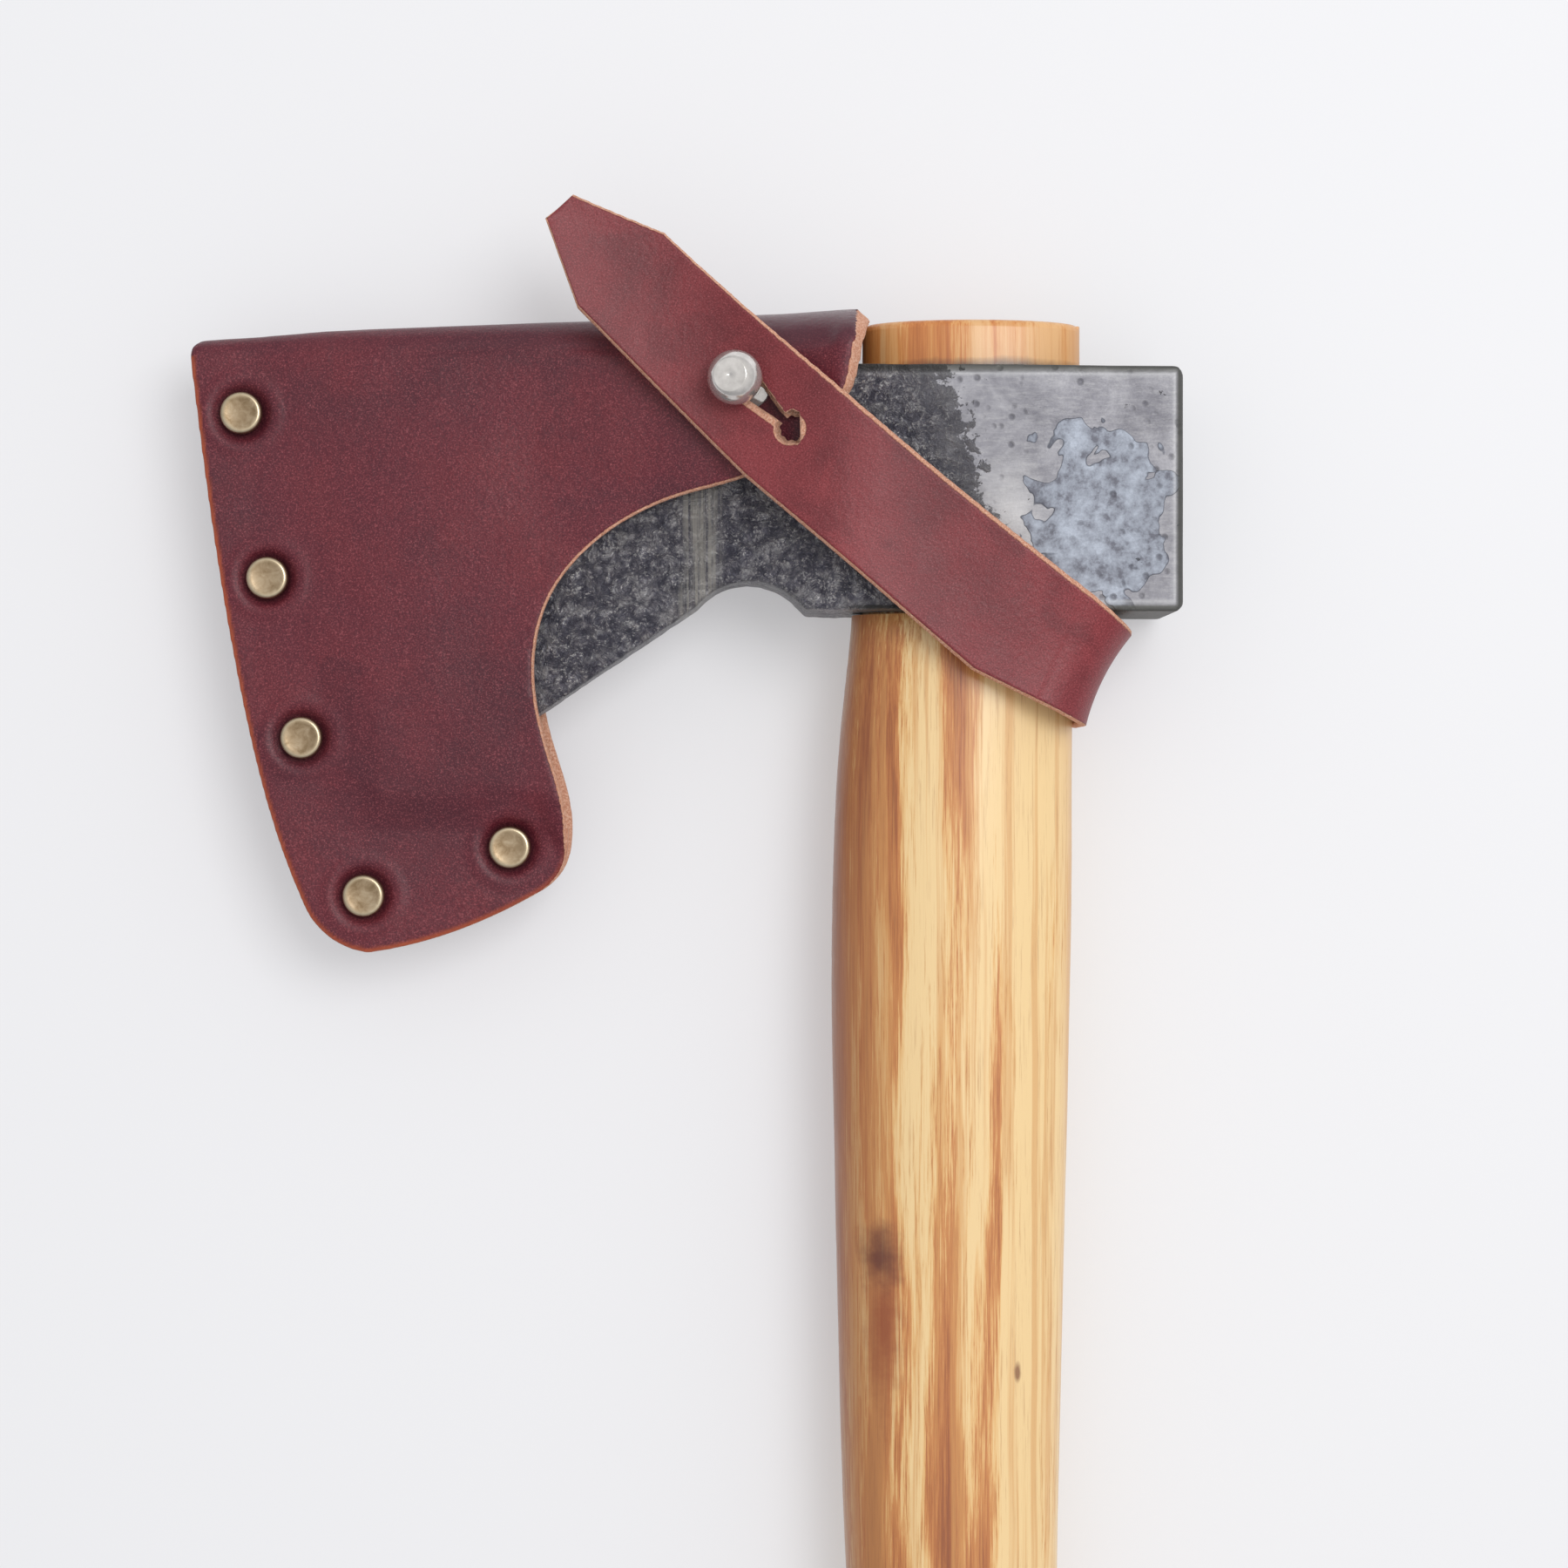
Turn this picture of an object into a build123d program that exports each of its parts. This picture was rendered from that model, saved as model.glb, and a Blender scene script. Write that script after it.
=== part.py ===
"""A forged hatchet with an ash handle, in a riveted leather sheath with a strap and a ball stud.

The hatchet lies on its side. X runs from the cutting edge to the poll, Y runs along the handle towards
the top of the head, and Z points up through the thickness. The model is drawn about the middle of the
eye and is moved at the end, so that the origin is the middle of the underside. Sizes are in millimetres.
"""
from build123d import *
import math
import os

# ---------------------------------------------------------------- driving sizes

fit = 0.05                       # gap between pieces that are fitted together
play = 0.3                       # gap between pieces that move past each other

# Head
head_top = 22.0                  # Y of the poll's upper face
head_bottom = -23.5              # Y of the poll's lower face
poll_x = 39.9                    # X of the poll's square face
eye_half = 15.5                  # half thickness of the head round the eye
poll_half = 14.5                 # half thickness of the poll
toe = (-131.5, 24.5)
edge_middle = (-126.5, -18.0)
heel = (-110.0, -62.5)
bevel_depth = 11.0               # how far the ground bevel runs in from the cutting edge
poll_chamfer = 1.2
eye_center = 1.3                 # X of the middle of the eye
eye_long = 20.6                  # half length of the eye along X
eye_short = 10.2                 # half width of the eye along Z

# Handle
stub_top = 31.3                  # Y of the handle's end above the head
neck_start = head_bottom - 0.1   # Y where the handle's shoulder meets the head
kerf_depth = 36.0
wedge_thick = 4.0                # thickness of the wedge at its outer end
wedge_thin = 0.8

# Leather
leather = 2.5
welt_half = 1.5                  # half thickness of the welt between the two panels
sheath_end_x = -20.0             # X of the mouth at the fold
fold_start = 25.0                # Y where the panels turn into the fold
flat_panel_bottom = -4.0         # Y down to which the panels have one thickness profile at every height
rivet_cap_r = 4.0
rivet_stem_r = 1.5
rivet_sink = 0.6                 # how deep the caps are pressed into the leather
rivet_cap_height = 1.8
dimple_r = 1.6                   # radius of the small hollow in the middle of each cap
dimple_depth = 0.3
rivet_places = [(-136.2, 14.4), (-131.3, -16.6), (-124.9, -46.7), (-113.2, -76.4), (-85.7, -67.3)]

# Half thickness inside the sheath, the height of the fold, and where the panels draw in to the welt,
# at stations along X: (x, inside half, outer top, pinch starts, pinch ends)
sheath_stations = [
    (-150.0, 1.5, 28.2, -30.0, -40.0),
    (-134.0, 1.5, 29.2, -5.0, -15.0),
    (-121.0, 2.5, 30.3, -30.0, -42.0),
    (-110.0, 3.4, 30.8, -57.0, -64.0),
    (-80.0, 5.0, 31.9, -57.0, -64.0),
    (-60.0, 6.9, 32.5, -80.0, -90.0),
    (-47.0, 8.6, 33.0, -80.0, -90.0),
    (-34.0, 11.6, 33.4, -80.0, -90.0),
    (-24.0, 15.5, 34.0, -80.0, -90.0),
    (-19.0, 15.85, 34.3, -80.0, -90.0),
    (60.0, 15.85, 34.3, -80.0, -90.0),
]

# Stud
stud_base = (-41.0, 18.9)        # X and Y of the stud's foot on the front panel
stud_tilt = 13.0                 # degrees that the stud leans towards the cutting edge, with the panel
flange_r = 5.0
flange_height = 1.0
neck_r = 2.3
ball_r = 5.0
ball_height = 9.3                # from the panel to the middle of the ball
ball_flat_r = 3.1
screw_r = 1.5
screw_head_r = 3.4
screw_sink = 0.7

# Strap
bend_direction = 66.0            # degrees from +X of the line that the strap is bent about
strap_back_z = -(15.85 + leather)   # outer face of the strap behind the head
strap_front_z = 15.85 + leather + play + leather  # outer face of the strap in front of the head
wrap_reach = 39.7                # outermost face of the wrap, measured across the bend line
back_bend_r = 9.0
front_bend_r = 12.0
segment_gap = 0.14               # gap between neighbouring lengths of the strap
slit_stop = (-32.7, 10.1)
slit_stop_r = 1.65
slit_width = 0.7

# ---------------------------------------------------------------- frames used by several pieces

stud_z = 8.6 + (stud_base[0] + 47.0) * (11.6 - 8.6) / 13.0 + leather
tilt = math.radians(stud_tilt)
stud_plane = Plane(
    origin=(stud_base[0], stud_base[1], stud_z),
    x_dir=(math.cos(tilt), 0, math.sin(tilt)),
    z_dir=(-math.sin(tilt), 0, math.cos(tilt)),
)
stud_axis = Axis(stud_plane.origin, stud_plane.z_dir)

bend = math.radians(bend_direction)
across = Vector(math.sin(bend), -math.cos(bend), 0)   # from the head out to the wrap
along = Vector(math.cos(bend), math.sin(bend), 0)     # along the bend line
wrap_plane = Plane(origin=(0, 0, 0), x_dir=across, z_dir=-along)


def side_plane(x, y):
    """A plane through (x, y) that faces the handle's end, with X across and Z up."""
    return Plane(origin=(x, y, 0), x_dir=(1, 0, 0), z_dir=(0, -1, 0))


def level_plane(x, y, z):
    """A level plane through (x, y, z)."""
    return Plane(origin=(x, y, z), x_dir=(1, 0, 0), z_dir=(0, 0, 1))


# ---------------------------------------------------------------- head

def cutting_edge():
    """The arc of the cutting edge, from the toe to the heel."""
    return ThreePointArc(toe, edge_middle, heel)


with BuildPart() as axe_head:
    with BuildSketch(Plane.XY):
        with BuildLine():
            edge_arc = cutting_edge()
            Line(heel, (-50.7, -22.4))
            ThreePointArc((-50.7, -22.4), (-42.0, -17.7), (-33.0, -20.4))
            Line((-33.0, -20.4), (-30.0, head_bottom + 0.3))
            Line((-30.0, head_bottom + 0.3), (poll_x, head_bottom))
            Line((poll_x, head_bottom), (poll_x, head_top))
            Line((poll_x, head_top), (-20.0, head_top + 0.3))
            Line((-20.0, head_top + 0.3), toe)
        make_face()
    extrude(amount=eye_half + 1, both=True)
    with BuildSketch(Plane.XZ):
        with BuildLine():
            blade_side = Line((-132.0, 1.2), (-121.0, 2.2))
            cheek_side = Spline(
                (-121.0, 2.2), (-80.0, 4.0), (-50.0, 6.5), (-40.0, 8.5), (-30.0, 12.5), (-22.0, 15.1),
                (-10.0, eye_half), tangents=((1, 0.04), (1, 0)),
            )
            eye_side = Line((-10.0, eye_half), (12.0, eye_half))
            poll_side = Spline(
                (12.0, eye_half), (21.0, 15.1), (29.0, poll_half), tangents=((1, 0), (1, 0)),
            )
            Line((29.0, poll_half), (poll_x + 1, poll_half))
            mirror(about=Plane.XZ)
            Line((poll_x + 1, poll_half), (poll_x + 1, -poll_half))
            Line((-132.0, 1.2), (-132.0, -1.2))
        make_face()
    extrude(amount=80, both=True, mode=Mode.INTERSECT)
    # The ground bevel follows the curve of the cutting edge.
    bevel_center = edge_arc.arc_center
    bevel_r = edge_arc.radius
    with BuildSketch(side_plane(bevel_center.X, bevel_center.Y)):
        with BuildLine():
            Polyline(
                (-bevel_r + bevel_depth, 2.6), (-bevel_r, 0.12), (-bevel_r - 3, 0.1),
                (-bevel_r - 3, 6), (-bevel_r + bevel_depth, 6), close=True,
            )
        make_face()
        mirror(about=Plane.XZ)
    revolve(axis=Axis((bevel_center.X, bevel_center.Y, 0), (0, 0, 1)), mode=Mode.SUBTRACT)
    with BuildSketch(Plane.XZ):
        with Locations((eye_center, 0)):
            Ellipse(eye_long, eye_short)
    extrude(amount=60, both=True, mode=Mode.SUBTRACT)
    chamfer(axe_head.faces().sort_by(Axis.X)[-1].edges(), poll_chamfer)


# ---------------------------------------------------------------- handle

# (y, left side, right side, half thickness), from the shoulder to the knob
handle_stations = [
    (neck_start, -21.3, 21.2, 11.8),
    (-31.0, -21.9, 20.9, 12.9),
    (-43.0, -23.2, 20.5, 13.3),
    (-58.0, -24.3, 20.4, 13.4),
    (-80.0, -25.0, 20.3, 13.3),
    (-105.0, -25.0, 19.8, 13.1),
    (-135.0, -24.4, 19.1, 12.8),
    (-165.0, -23.7, 18.4, 12.6),
    (-203.0, -22.4, 17.6, 12.4),
    (-240.0, -20.0, 17.5, 12.2),
    (-275.0, -18.6, 18.8, 12.4),
    (-310.0, -20.2, 22.4, 13.2),
    (-345.0, -24.5, 27.5, 14.2),
]
handle_end = handle_stations[-1][0]

with BuildPart() as handle:
    for y, left, right, half in handle_stations:
        with BuildSketch(Plane.XZ.offset(-y)):
            with Locations(((left + right) / 2, 0)):
                Ellipse((right - left) / 2, half)
    loft()
    fillet(handle.faces().sort_by(Axis.Y)[0].edges(), 3.5)
    # The tongue through the eye, with the worn corners of the stub above the head.
    with BuildSketch(Plane.XZ.offset(-neck_start)) as tongue_section:
        with Locations((eye_center, 0)):
            Ellipse(eye_long - fit, eye_short - fit)
    extrude(amount=-(stub_top - neck_start))
    fillet(handle.faces().sort_by(Axis.Y)[-1].edges(), 1.4)
    with BuildSketch(Plane.YZ):
        with BuildLine():
            Polyline(
                (stub_top + 1, -wedge_thick / 2), (stub_top + 1, wedge_thick / 2),
                (stub_top - kerf_depth, wedge_thin / 2), (stub_top - kerf_depth, -wedge_thin / 2), close=True,
            )
        make_face()
    extrude(amount=60, both=True, mode=Mode.SUBTRACT)

with BuildPart() as handle_wedge:
    with BuildSketch(Plane.YZ):
        with BuildLine():
            Polyline(
                (stub_top + 1, -wedge_thick / 2), (stub_top + 1, wedge_thick / 2),
                (stub_top - kerf_depth, wedge_thin / 2), (stub_top - kerf_depth, -wedge_thin / 2), close=True,
            )
        make_face()
    extrude(amount=60, both=True)
    with BuildSketch(Plane.XZ.offset(kerf_depth)):
        with Locations((eye_center, 0)):
            Ellipse(eye_long - fit, eye_short - fit)
    extrude(amount=-(kerf_depth + stub_top - 0.3), mode=Mode.INTERSECT)


# ---------------------------------------------------------------- strap outline and sections

def strap_outline():
    """The strap seen from above, from its pointed tip to past the wrap, as the edges of one face."""
    Line((-72.9, 53.3), (-56.1, 46.5))
    ThreePointArc((-56.1, 46.5), (-9.5, 5.3), (29.7, -25.7))
    Line((29.7, -25.7), (46.0, -36.8))
    Line((46.0, -36.8), (38.0, -51.8))
    Line((38.0, -51.8), (20.6, -44.3))
    Spline((20.6, -44.3), (0.5, -34.6), (-15.9, -20.6), (-41.2, 1.1), (-72.2, 32.3))
    Line((-72.2, 32.3), (-78.0, 48.5))
    Line((-78.0, 48.5), (-72.9, 53.3))


strap_back_inner = strap_back_z + leather
strap_front_inner = strap_front_z - leather
back_bend_s = wrap_reach - back_bend_r       # where the strap starts to turn, behind the head
front_bend_s = wrap_reach - front_bend_r     # where it has turned, in front of the head
back_bend_z = strap_back_z + back_bend_r     # height of the middle of the back bend
front_bend_z = strap_front_z - front_bend_r


def bend_segment(s, z, outer_r, start, end):
    """The edges of a length of bent strap round (s, z), between two angles in degrees."""
    trim = math.degrees(segment_gap / 2 / outer_r)
    outer = CenterArc((s, z), outer_r, start + trim, end - start - 2 * trim)
    inner = CenterArc((s, z), outer_r - leather, start + trim, end - start - 2 * trim)
    Line(outer @ 0, inner @ 0)
    Line(outer @ 1, inner @ 1)


# ---------------------------------------------------------------- sheath

def sheath_section(half, top, pinch_start, pinch_end, edge_half):
    """The edges of one cross section of the folded sheath, in the YZ plane."""
    EllipticalCenterArc((fold_start, 0), top - fold_start, half, start_angle=-90, arc_size=180)
    Polyline((fold_start, half), (pinch_start, half), (pinch_end, edge_half), (-95, edge_half))
    Polyline((fold_start, -half), (pinch_start, -half), (pinch_end, -edge_half), (-95, -edge_half))
    Line((-95, edge_half), (-95, -edge_half))


def sheath_outline():
    """The sheath's panels seen from above. The fold itself bounds the top."""
    Spline((-146.0, 25.4), (-142.9, 0.9), (-136.4, -38.3), (-129.8, -64.5), (-124.8, -77.6))
    ThreePointArc((-124.8, -77.6), (-120.4, -83.8), (-112.5, -87.2))
    Spline((-112.5, -87.2), (-99.4, -84.3), (-86.3, -79.0), (-80.0, -75.6))
    ThreePointArc((-80.0, -75.6), (-76.4, -72.0), (-75.1, -67.0))
    Spline(
        (-75.1, -67.0), (-75.8, -57.5), (-78.8, -47.4), (-80.9, -34.0), (-78.0, -20.5),
        (-68.2, -9.1), (-53.6, -1.7), (-40.5, 1.9), (-30.0, 8.0), (-22.3, 17.8),
    )
    ThreePointArc((-22.3, 17.8), (-20.7, 26.0), (sheath_end_x, 34.5))
    Polyline((sheath_end_x, 34.5), (sheath_end_x, 40.0), (-143.8, 40.0), (-143.8, 28.5))
    ThreePointArc((-143.8, 28.5), (-145.4, 27.4), (-146.0, 25.4))


def leg_profile(thickness):
    """The edges of the panels' outline in the XZ plane, that much outside the sheath's inside."""
    right = [(x, half + thickness) for x, half, top, pinch_start, pinch_end in sheath_stations]
    left = [(x, -half) for x, half in reversed(right)]
    Polyline(*right, *left, close=True)


with BuildPart() as sheath_inside:
    for x, half, top, pinch_start, pinch_end in sheath_stations:
        with BuildSketch(Plane.YZ.offset(x)):
            with BuildLine():
                sheath_section(half, top - leather, pinch_start, pinch_end, welt_half)
            make_face()
    loft(ruled=True)
    # Beside the head the panels are flat along Y.
    with BuildSketch(Plane.XZ.offset(-fold_start)):
        with BuildLine():
            leg_profile(0)
        make_face()
    extrude(amount=fold_start - flat_panel_bottom)

with BuildPart() as folded_leather:
    for x, half, top, pinch_start, pinch_end in sheath_stations:
        with BuildSketch(Plane.YZ.offset(x)):
            with BuildLine():
                sheath_section(half + leather, top, pinch_start, pinch_end, welt_half + leather)
            make_face()
    loft(ruled=True)
    with BuildSketch(Plane.XZ.offset(-fold_start)):
        with BuildLine():
            leg_profile(leather)
        make_face()
    extrude(amount=fold_start - flat_panel_bottom)
    add(sheath_inside.part, mode=Mode.SUBTRACT)

with BuildPart() as sheath_leather:
    # Both panels and the fold.
    with BuildSketch(Plane.XY):
        with BuildLine():
            sheath_outline()
        make_face()
    extrude(amount=30, both=True)
    # The strap's root leaves the back panel, so it is cut from the same leather behind the head.
    with BuildSketch(Plane.XY):
        with BuildLine():
            strap_outline()
        make_face()
        with Locations(Location(across * (back_bend_s - segment_gap / 2), (0, 0, bend_direction))):
            Rectangle(160, 75, align=(Align.CENTER, Align.MIN), mode=Mode.INTERSECT)
    extrude(amount=-30)
    add(folded_leather.part, mode=Mode.INTERSECT)
    # Rivet holes and the seats that the caps are pressed into.
    with Locations(*[(x, y, 0) for x, y in rivet_places]):
        Cylinder(rivet_stem_r + fit, 20, mode=Mode.SUBTRACT)
    with Locations(*[(x, y, welt_half + leather - rivet_sink) for x, y in rivet_places]):
        Cylinder(rivet_cap_r + fit, 4, align=(Align.CENTER, Align.CENTER, Align.MIN), mode=Mode.SUBTRACT)
    with Locations(*[(x, y, -welt_half - leather + rivet_sink) for x, y in rivet_places]):
        Cylinder(rivet_cap_r + fit, 4, align=(Align.CENTER, Align.CENTER, Align.MAX), mode=Mode.SUBTRACT)
    # The stud's screw hole, and the seat of the screw's head inside the front panel.
    with BuildSketch(stud_plane):
        Circle(screw_r + fit)
    extrude(amount=5, both=True, mode=Mode.SUBTRACT)
    with BuildSketch(stud_plane.offset(screw_sink - leather)):
        Circle(screw_head_r + fit)
    extrude(amount=-4, mode=Mode.SUBTRACT)

with BuildPart() as sheath_welt:
    with BuildSketch(Plane.XY):
        with BuildLine():
            sheath_outline()
        make_face()
        with BuildLine():
            ThreePointArc((-134.6, 50.0), (-130.6, -15.0), (-112.8, -64.2))
            Polyline((-112.8, -64.2), (-60.0, -63.6), (-10.0, -63.6), (-10.0, 50.0), (-134.6, 50.0))
        make_face(mode=Mode.SUBTRACT)
        with Locations((-100, 23.0)):
            Rectangle(120, 40, align=(Align.CENTER, Align.MIN), mode=Mode.SUBTRACT)
    extrude(amount=welt_half - 0.01, both=True)
    with Locations(*[(x, y, 0) for x, y in rivet_places]):
        Cylinder(rivet_stem_r + fit, 20, mode=Mode.SUBTRACT)


# ---------------------------------------------------------------- rivets

cap_seat_z = welt_half + leather - rivet_sink
rivet_caps = []
rivet_posts = []
for number, (x, y) in enumerate(rivet_places, start=1):
    with BuildPart() as rivet_cap:
        with BuildSketch(level_plane(x, y, cap_seat_z)):
            Circle(rivet_cap_r)
        extrude(amount=rivet_cap_height)
        fillet(rivet_cap.faces().sort_by(Axis.Z)[-1].edges(), 1.1)
        with Locations((x, y, cap_seat_z + rivet_cap_height + dimple_r - dimple_depth)):
            Sphere(dimple_r, mode=Mode.SUBTRACT)
        with BuildSketch(level_plane(x, y, cap_seat_z)):
            Circle(rivet_stem_r + fit)
        extrude(amount=0.85, mode=Mode.SUBTRACT)
    rivet_cap.part.label = f"rivet_cap_{number}"
    rivet_caps.append(rivet_cap.part)
    with BuildPart() as rivet_post:
        with BuildSketch(level_plane(x, y, -cap_seat_z)):
            Circle(rivet_cap_r)
        extrude(amount=-1.2)
        fillet(rivet_post.faces().sort_by(Axis.Z)[0].edges(), 0.8)
        with BuildSketch(level_plane(x, y, -cap_seat_z)):
            Circle(rivet_stem_r)
        extrude(amount=2 * cap_seat_z + 0.8)
    rivet_post.part.label = f"rivet_post_{number}"
    rivet_posts.append(rivet_post.part)


# ---------------------------------------------------------------- stud

with BuildPart() as ball_stud:
    with BuildSketch(stud_plane):
        Circle(flange_r)
    extrude(amount=flange_height)
    chamfer(ball_stud.faces().sort_by(Axis.Z)[-1].edges(), 0.3)
    with BuildSketch(stud_plane):
        Circle(neck_r)
    extrude(amount=ball_height)
    with Locations(stud_plane.offset(ball_height).location):
        Sphere(ball_r)
    ball_flat = math.sqrt(ball_r**2 - ball_flat_r**2)
    with BuildSketch(stud_plane.offset(ball_height + ball_flat)):
        Circle(ball_r)
    extrude(amount=ball_r, mode=Mode.SUBTRACT)
    with BuildSketch(stud_plane):
        Circle(screw_r + fit)
    extrude(amount=5.5, mode=Mode.SUBTRACT)

with BuildPart() as stud_screw:
    with BuildSketch(stud_plane.offset(screw_sink - leather)):
        Circle(screw_head_r)
    extrude(amount=-0.9)
    with BuildSketch(stud_plane.offset(screw_sink - leather)):
        Circle(screw_r)
    extrude(amount=leather - screw_sink + 5.0)
    with BuildSketch(stud_plane.offset(screw_sink - leather - 0.9)):
        Rectangle(8, 0.8)
    extrude(amount=0.5, mode=Mode.SUBTRACT)


# ---------------------------------------------------------------- strap

with BuildPart() as strap_band:
    with BuildSketch(Plane.XY.offset(-30)):
        with BuildLine():
            strap_outline()
        make_face()
    extrude(amount=70)

with BuildPart() as strap_bend_1:
    with BuildSketch(wrap_plane):
        with BuildLine():
            bend_segment(back_bend_s, back_bend_z, back_bend_r, -90, -45)
        make_face()
    extrude(amount=90, both=True)
    add(strap_band.part, mode=Mode.INTERSECT)

with BuildPart() as strap_bend_2:
    with BuildSketch(wrap_plane):
        with BuildLine():
            bend_segment(back_bend_s, back_bend_z, back_bend_r, -45, 0)
        make_face()
    extrude(amount=90, both=True)
    add(strap_band.part, mode=Mode.INTERSECT)

with BuildPart() as strap_side:
    with BuildSketch(wrap_plane):
        side_height = front_bend_z - back_bend_z - segment_gap
        with Locations((wrap_reach - leather / 2, (front_bend_z + back_bend_z) / 2)):
            Rectangle(leather, side_height)
    extrude(amount=90, both=True)
    add(strap_band.part, mode=Mode.INTERSECT)

with BuildPart() as strap_bend_3:
    with BuildSketch(wrap_plane):
        with BuildLine():
            bend_segment(front_bend_s, front_bend_z, front_bend_r, 0, 45)
        make_face()
    extrude(amount=90, both=True)
    add(strap_band.part, mode=Mode.INTERSECT)

with BuildPart() as strap_bend_4:
    with BuildSketch(wrap_plane):
        with BuildLine():
            bend_segment(front_bend_s, front_bend_z, front_bend_r, 45, 90)
        make_face()
    extrude(amount=90, both=True)
    add(strap_band.part, mode=Mode.INTERSECT)

with BuildPart() as strap_front:
    # The strap follows the panel's slope under it and lifts a little towards its tip.
    with BuildSketch(Plane.XZ):
        with BuildLine():
            under = Spline(
                (-82.0, 16.2), (-66.0, 13.6), (-56.0, 12.8), (-46.0, 13.4), (-36.0, 15.7), (-27.0, 18.0),
                (-18.0, strap_front_inner), tangents=((1, -0.25), (1, 0)),
            )
            flat_under = Line((-18.0, strap_front_inner), (60.0, strap_front_inner))
            over = Spline(
                (-82.0, 16.2 + leather), (-66.0, 13.6 + leather), (-56.0, 12.8 + leather),
                (-46.0, 13.4 + leather), (-36.0, 15.7 + leather), (-27.0, 18.0 + leather),
                (-18.0, strap_front_z), tangents=((1, -0.25), (1, 0)),
            )
            flat_over = Line((-18.0, strap_front_z), (60.0, strap_front_z))
            Line((-82.0, 16.2), (-82.0, 16.2 + leather))
            Line((60.0, strap_front_inner), (60.0, strap_front_z))
        make_face()
    extrude(amount=90, both=True)
    add(strap_band.part, mode=Mode.INTERSECT)
    # The front leg ends where the wrap begins.
    with BuildSketch(wrap_plane):
        with Locations((front_bend_s - segment_gap / 2, 0)):
            Rectangle(140, 80, align=(Align.MAX, Align.CENTER))
    extrude(amount=120, both=True, mode=Mode.INTERSECT)
    # The button hole: a hole for the stud's neck, a slit, and a round stop at the slit's end.
    with BuildSketch(stud_plane):
        Circle(neck_r + play)
    extrude(amount=9, mode=Mode.SUBTRACT)
    slit_start = Vector(stud_base[0] - 0.9, stud_base[1])
    slit_vector = Vector(*slit_stop) - slit_start
    slit_angle = math.degrees(math.atan2(slit_vector.Y, slit_vector.X))
    with BuildSketch(Plane.XY.offset(5)):
        with Locations(Location(slit_start, (0, 0, slit_angle))):
            Rectangle(slit_vector.length, slit_width, align=(Align.MIN, Align.CENTER))
        with Locations(slit_stop):
            Circle(slit_stop_r)
    extrude(amount=30, mode=Mode.SUBTRACT)


# ---------------------------------------------------------------- export

axe_head.part.label = "axe_head"
handle.part.label = "handle"
handle_wedge.part.label = "handle_wedge"
sheath_leather.part.label = "sheath_leather"
sheath_welt.part.label = "sheath_welt"
ball_stud.part.label = "ball_stud"
stud_screw.part.label = "stud_screw"
strap_bend_1.part.label = "strap_bend_1"
strap_bend_2.part.label = "strap_bend_2"
strap_side.part.label = "strap_side"
strap_bend_3.part.label = "strap_bend_3"
strap_bend_4.part.label = "strap_bend_4"
strap_front.part.label = "strap_front"

pieces = [
    axe_head.part, handle.part, handle_wedge.part, sheath_leather.part, sheath_welt.part,
    *rivet_caps, *rivet_posts, ball_stud.part, stud_screw.part,
    strap_bend_1.part, strap_bend_2.part, strap_side.part, strap_bend_3.part, strap_bend_4.part,
    strap_front.part,
]

# The origin is the middle of the underside of the whole object.
boxes = [piece.bounding_box() for piece in pieces]
low = Vector(min(b.min.X for b in boxes), min(b.min.Y for b in boxes), min(b.min.Z for b in boxes))
high = Vector(max(b.max.X for b in boxes), max(b.max.Y for b in boxes), max(b.max.Z for b in boxes))
shift = Vector(-(low.X + high.X) / 2, -(low.Y + high.Y) / 2, -low.Z)

os.makedirs("parts", exist_ok=True)
for piece in pieces:
    placed = piece.moved(Location(shift))
    placed.label = piece.label
    export_step(placed, f"parts/{piece.label}.step")
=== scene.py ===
"""The looks of the sheathed hatchet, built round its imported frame."""

import math
from collections import namedtuple

import bmesh
import bpy
import numpy as np
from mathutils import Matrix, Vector, kdtree, noise


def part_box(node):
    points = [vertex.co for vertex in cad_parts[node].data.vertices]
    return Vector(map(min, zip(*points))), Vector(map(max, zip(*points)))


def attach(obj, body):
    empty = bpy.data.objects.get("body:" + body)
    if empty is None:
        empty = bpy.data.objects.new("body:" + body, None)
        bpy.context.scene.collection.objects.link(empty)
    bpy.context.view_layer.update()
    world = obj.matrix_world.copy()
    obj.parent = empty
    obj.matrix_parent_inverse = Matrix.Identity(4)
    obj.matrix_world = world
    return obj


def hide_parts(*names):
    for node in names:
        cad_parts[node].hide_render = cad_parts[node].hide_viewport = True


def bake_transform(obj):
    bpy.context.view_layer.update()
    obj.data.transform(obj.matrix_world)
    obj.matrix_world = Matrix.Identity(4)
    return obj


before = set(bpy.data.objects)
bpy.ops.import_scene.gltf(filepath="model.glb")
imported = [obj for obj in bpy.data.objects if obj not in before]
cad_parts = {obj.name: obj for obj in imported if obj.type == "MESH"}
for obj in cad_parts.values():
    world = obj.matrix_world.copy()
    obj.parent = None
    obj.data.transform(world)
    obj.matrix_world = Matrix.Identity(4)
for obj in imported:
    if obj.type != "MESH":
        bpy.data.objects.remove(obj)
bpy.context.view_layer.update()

# ---------------------------------------------------------------- the object's own millimetres
# Lengths below are in millimetres about the middle of the eye, as in the part's source.

MM = 0.001
POLL_X = 39.9                    # the poll's striking face
TOE_Y = 24.5                     # the highest point of the cutting edge
HEAD_TOP = 22.1                  # the head's two faces round the eye
HEAD_BOTTOM = -23.5
head_low, head_high = (Vector(corner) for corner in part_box("axe_head"))
eye = Vector((head_high.x - POLL_X * MM, head_high.y - TOE_Y * MM, (head_low.z + head_high.z) / 2))


def place(x, y, z):
    """A point in metres in the frame, from millimetres about the eye."""
    return eye + Vector((x, y, z)) * MM


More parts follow.
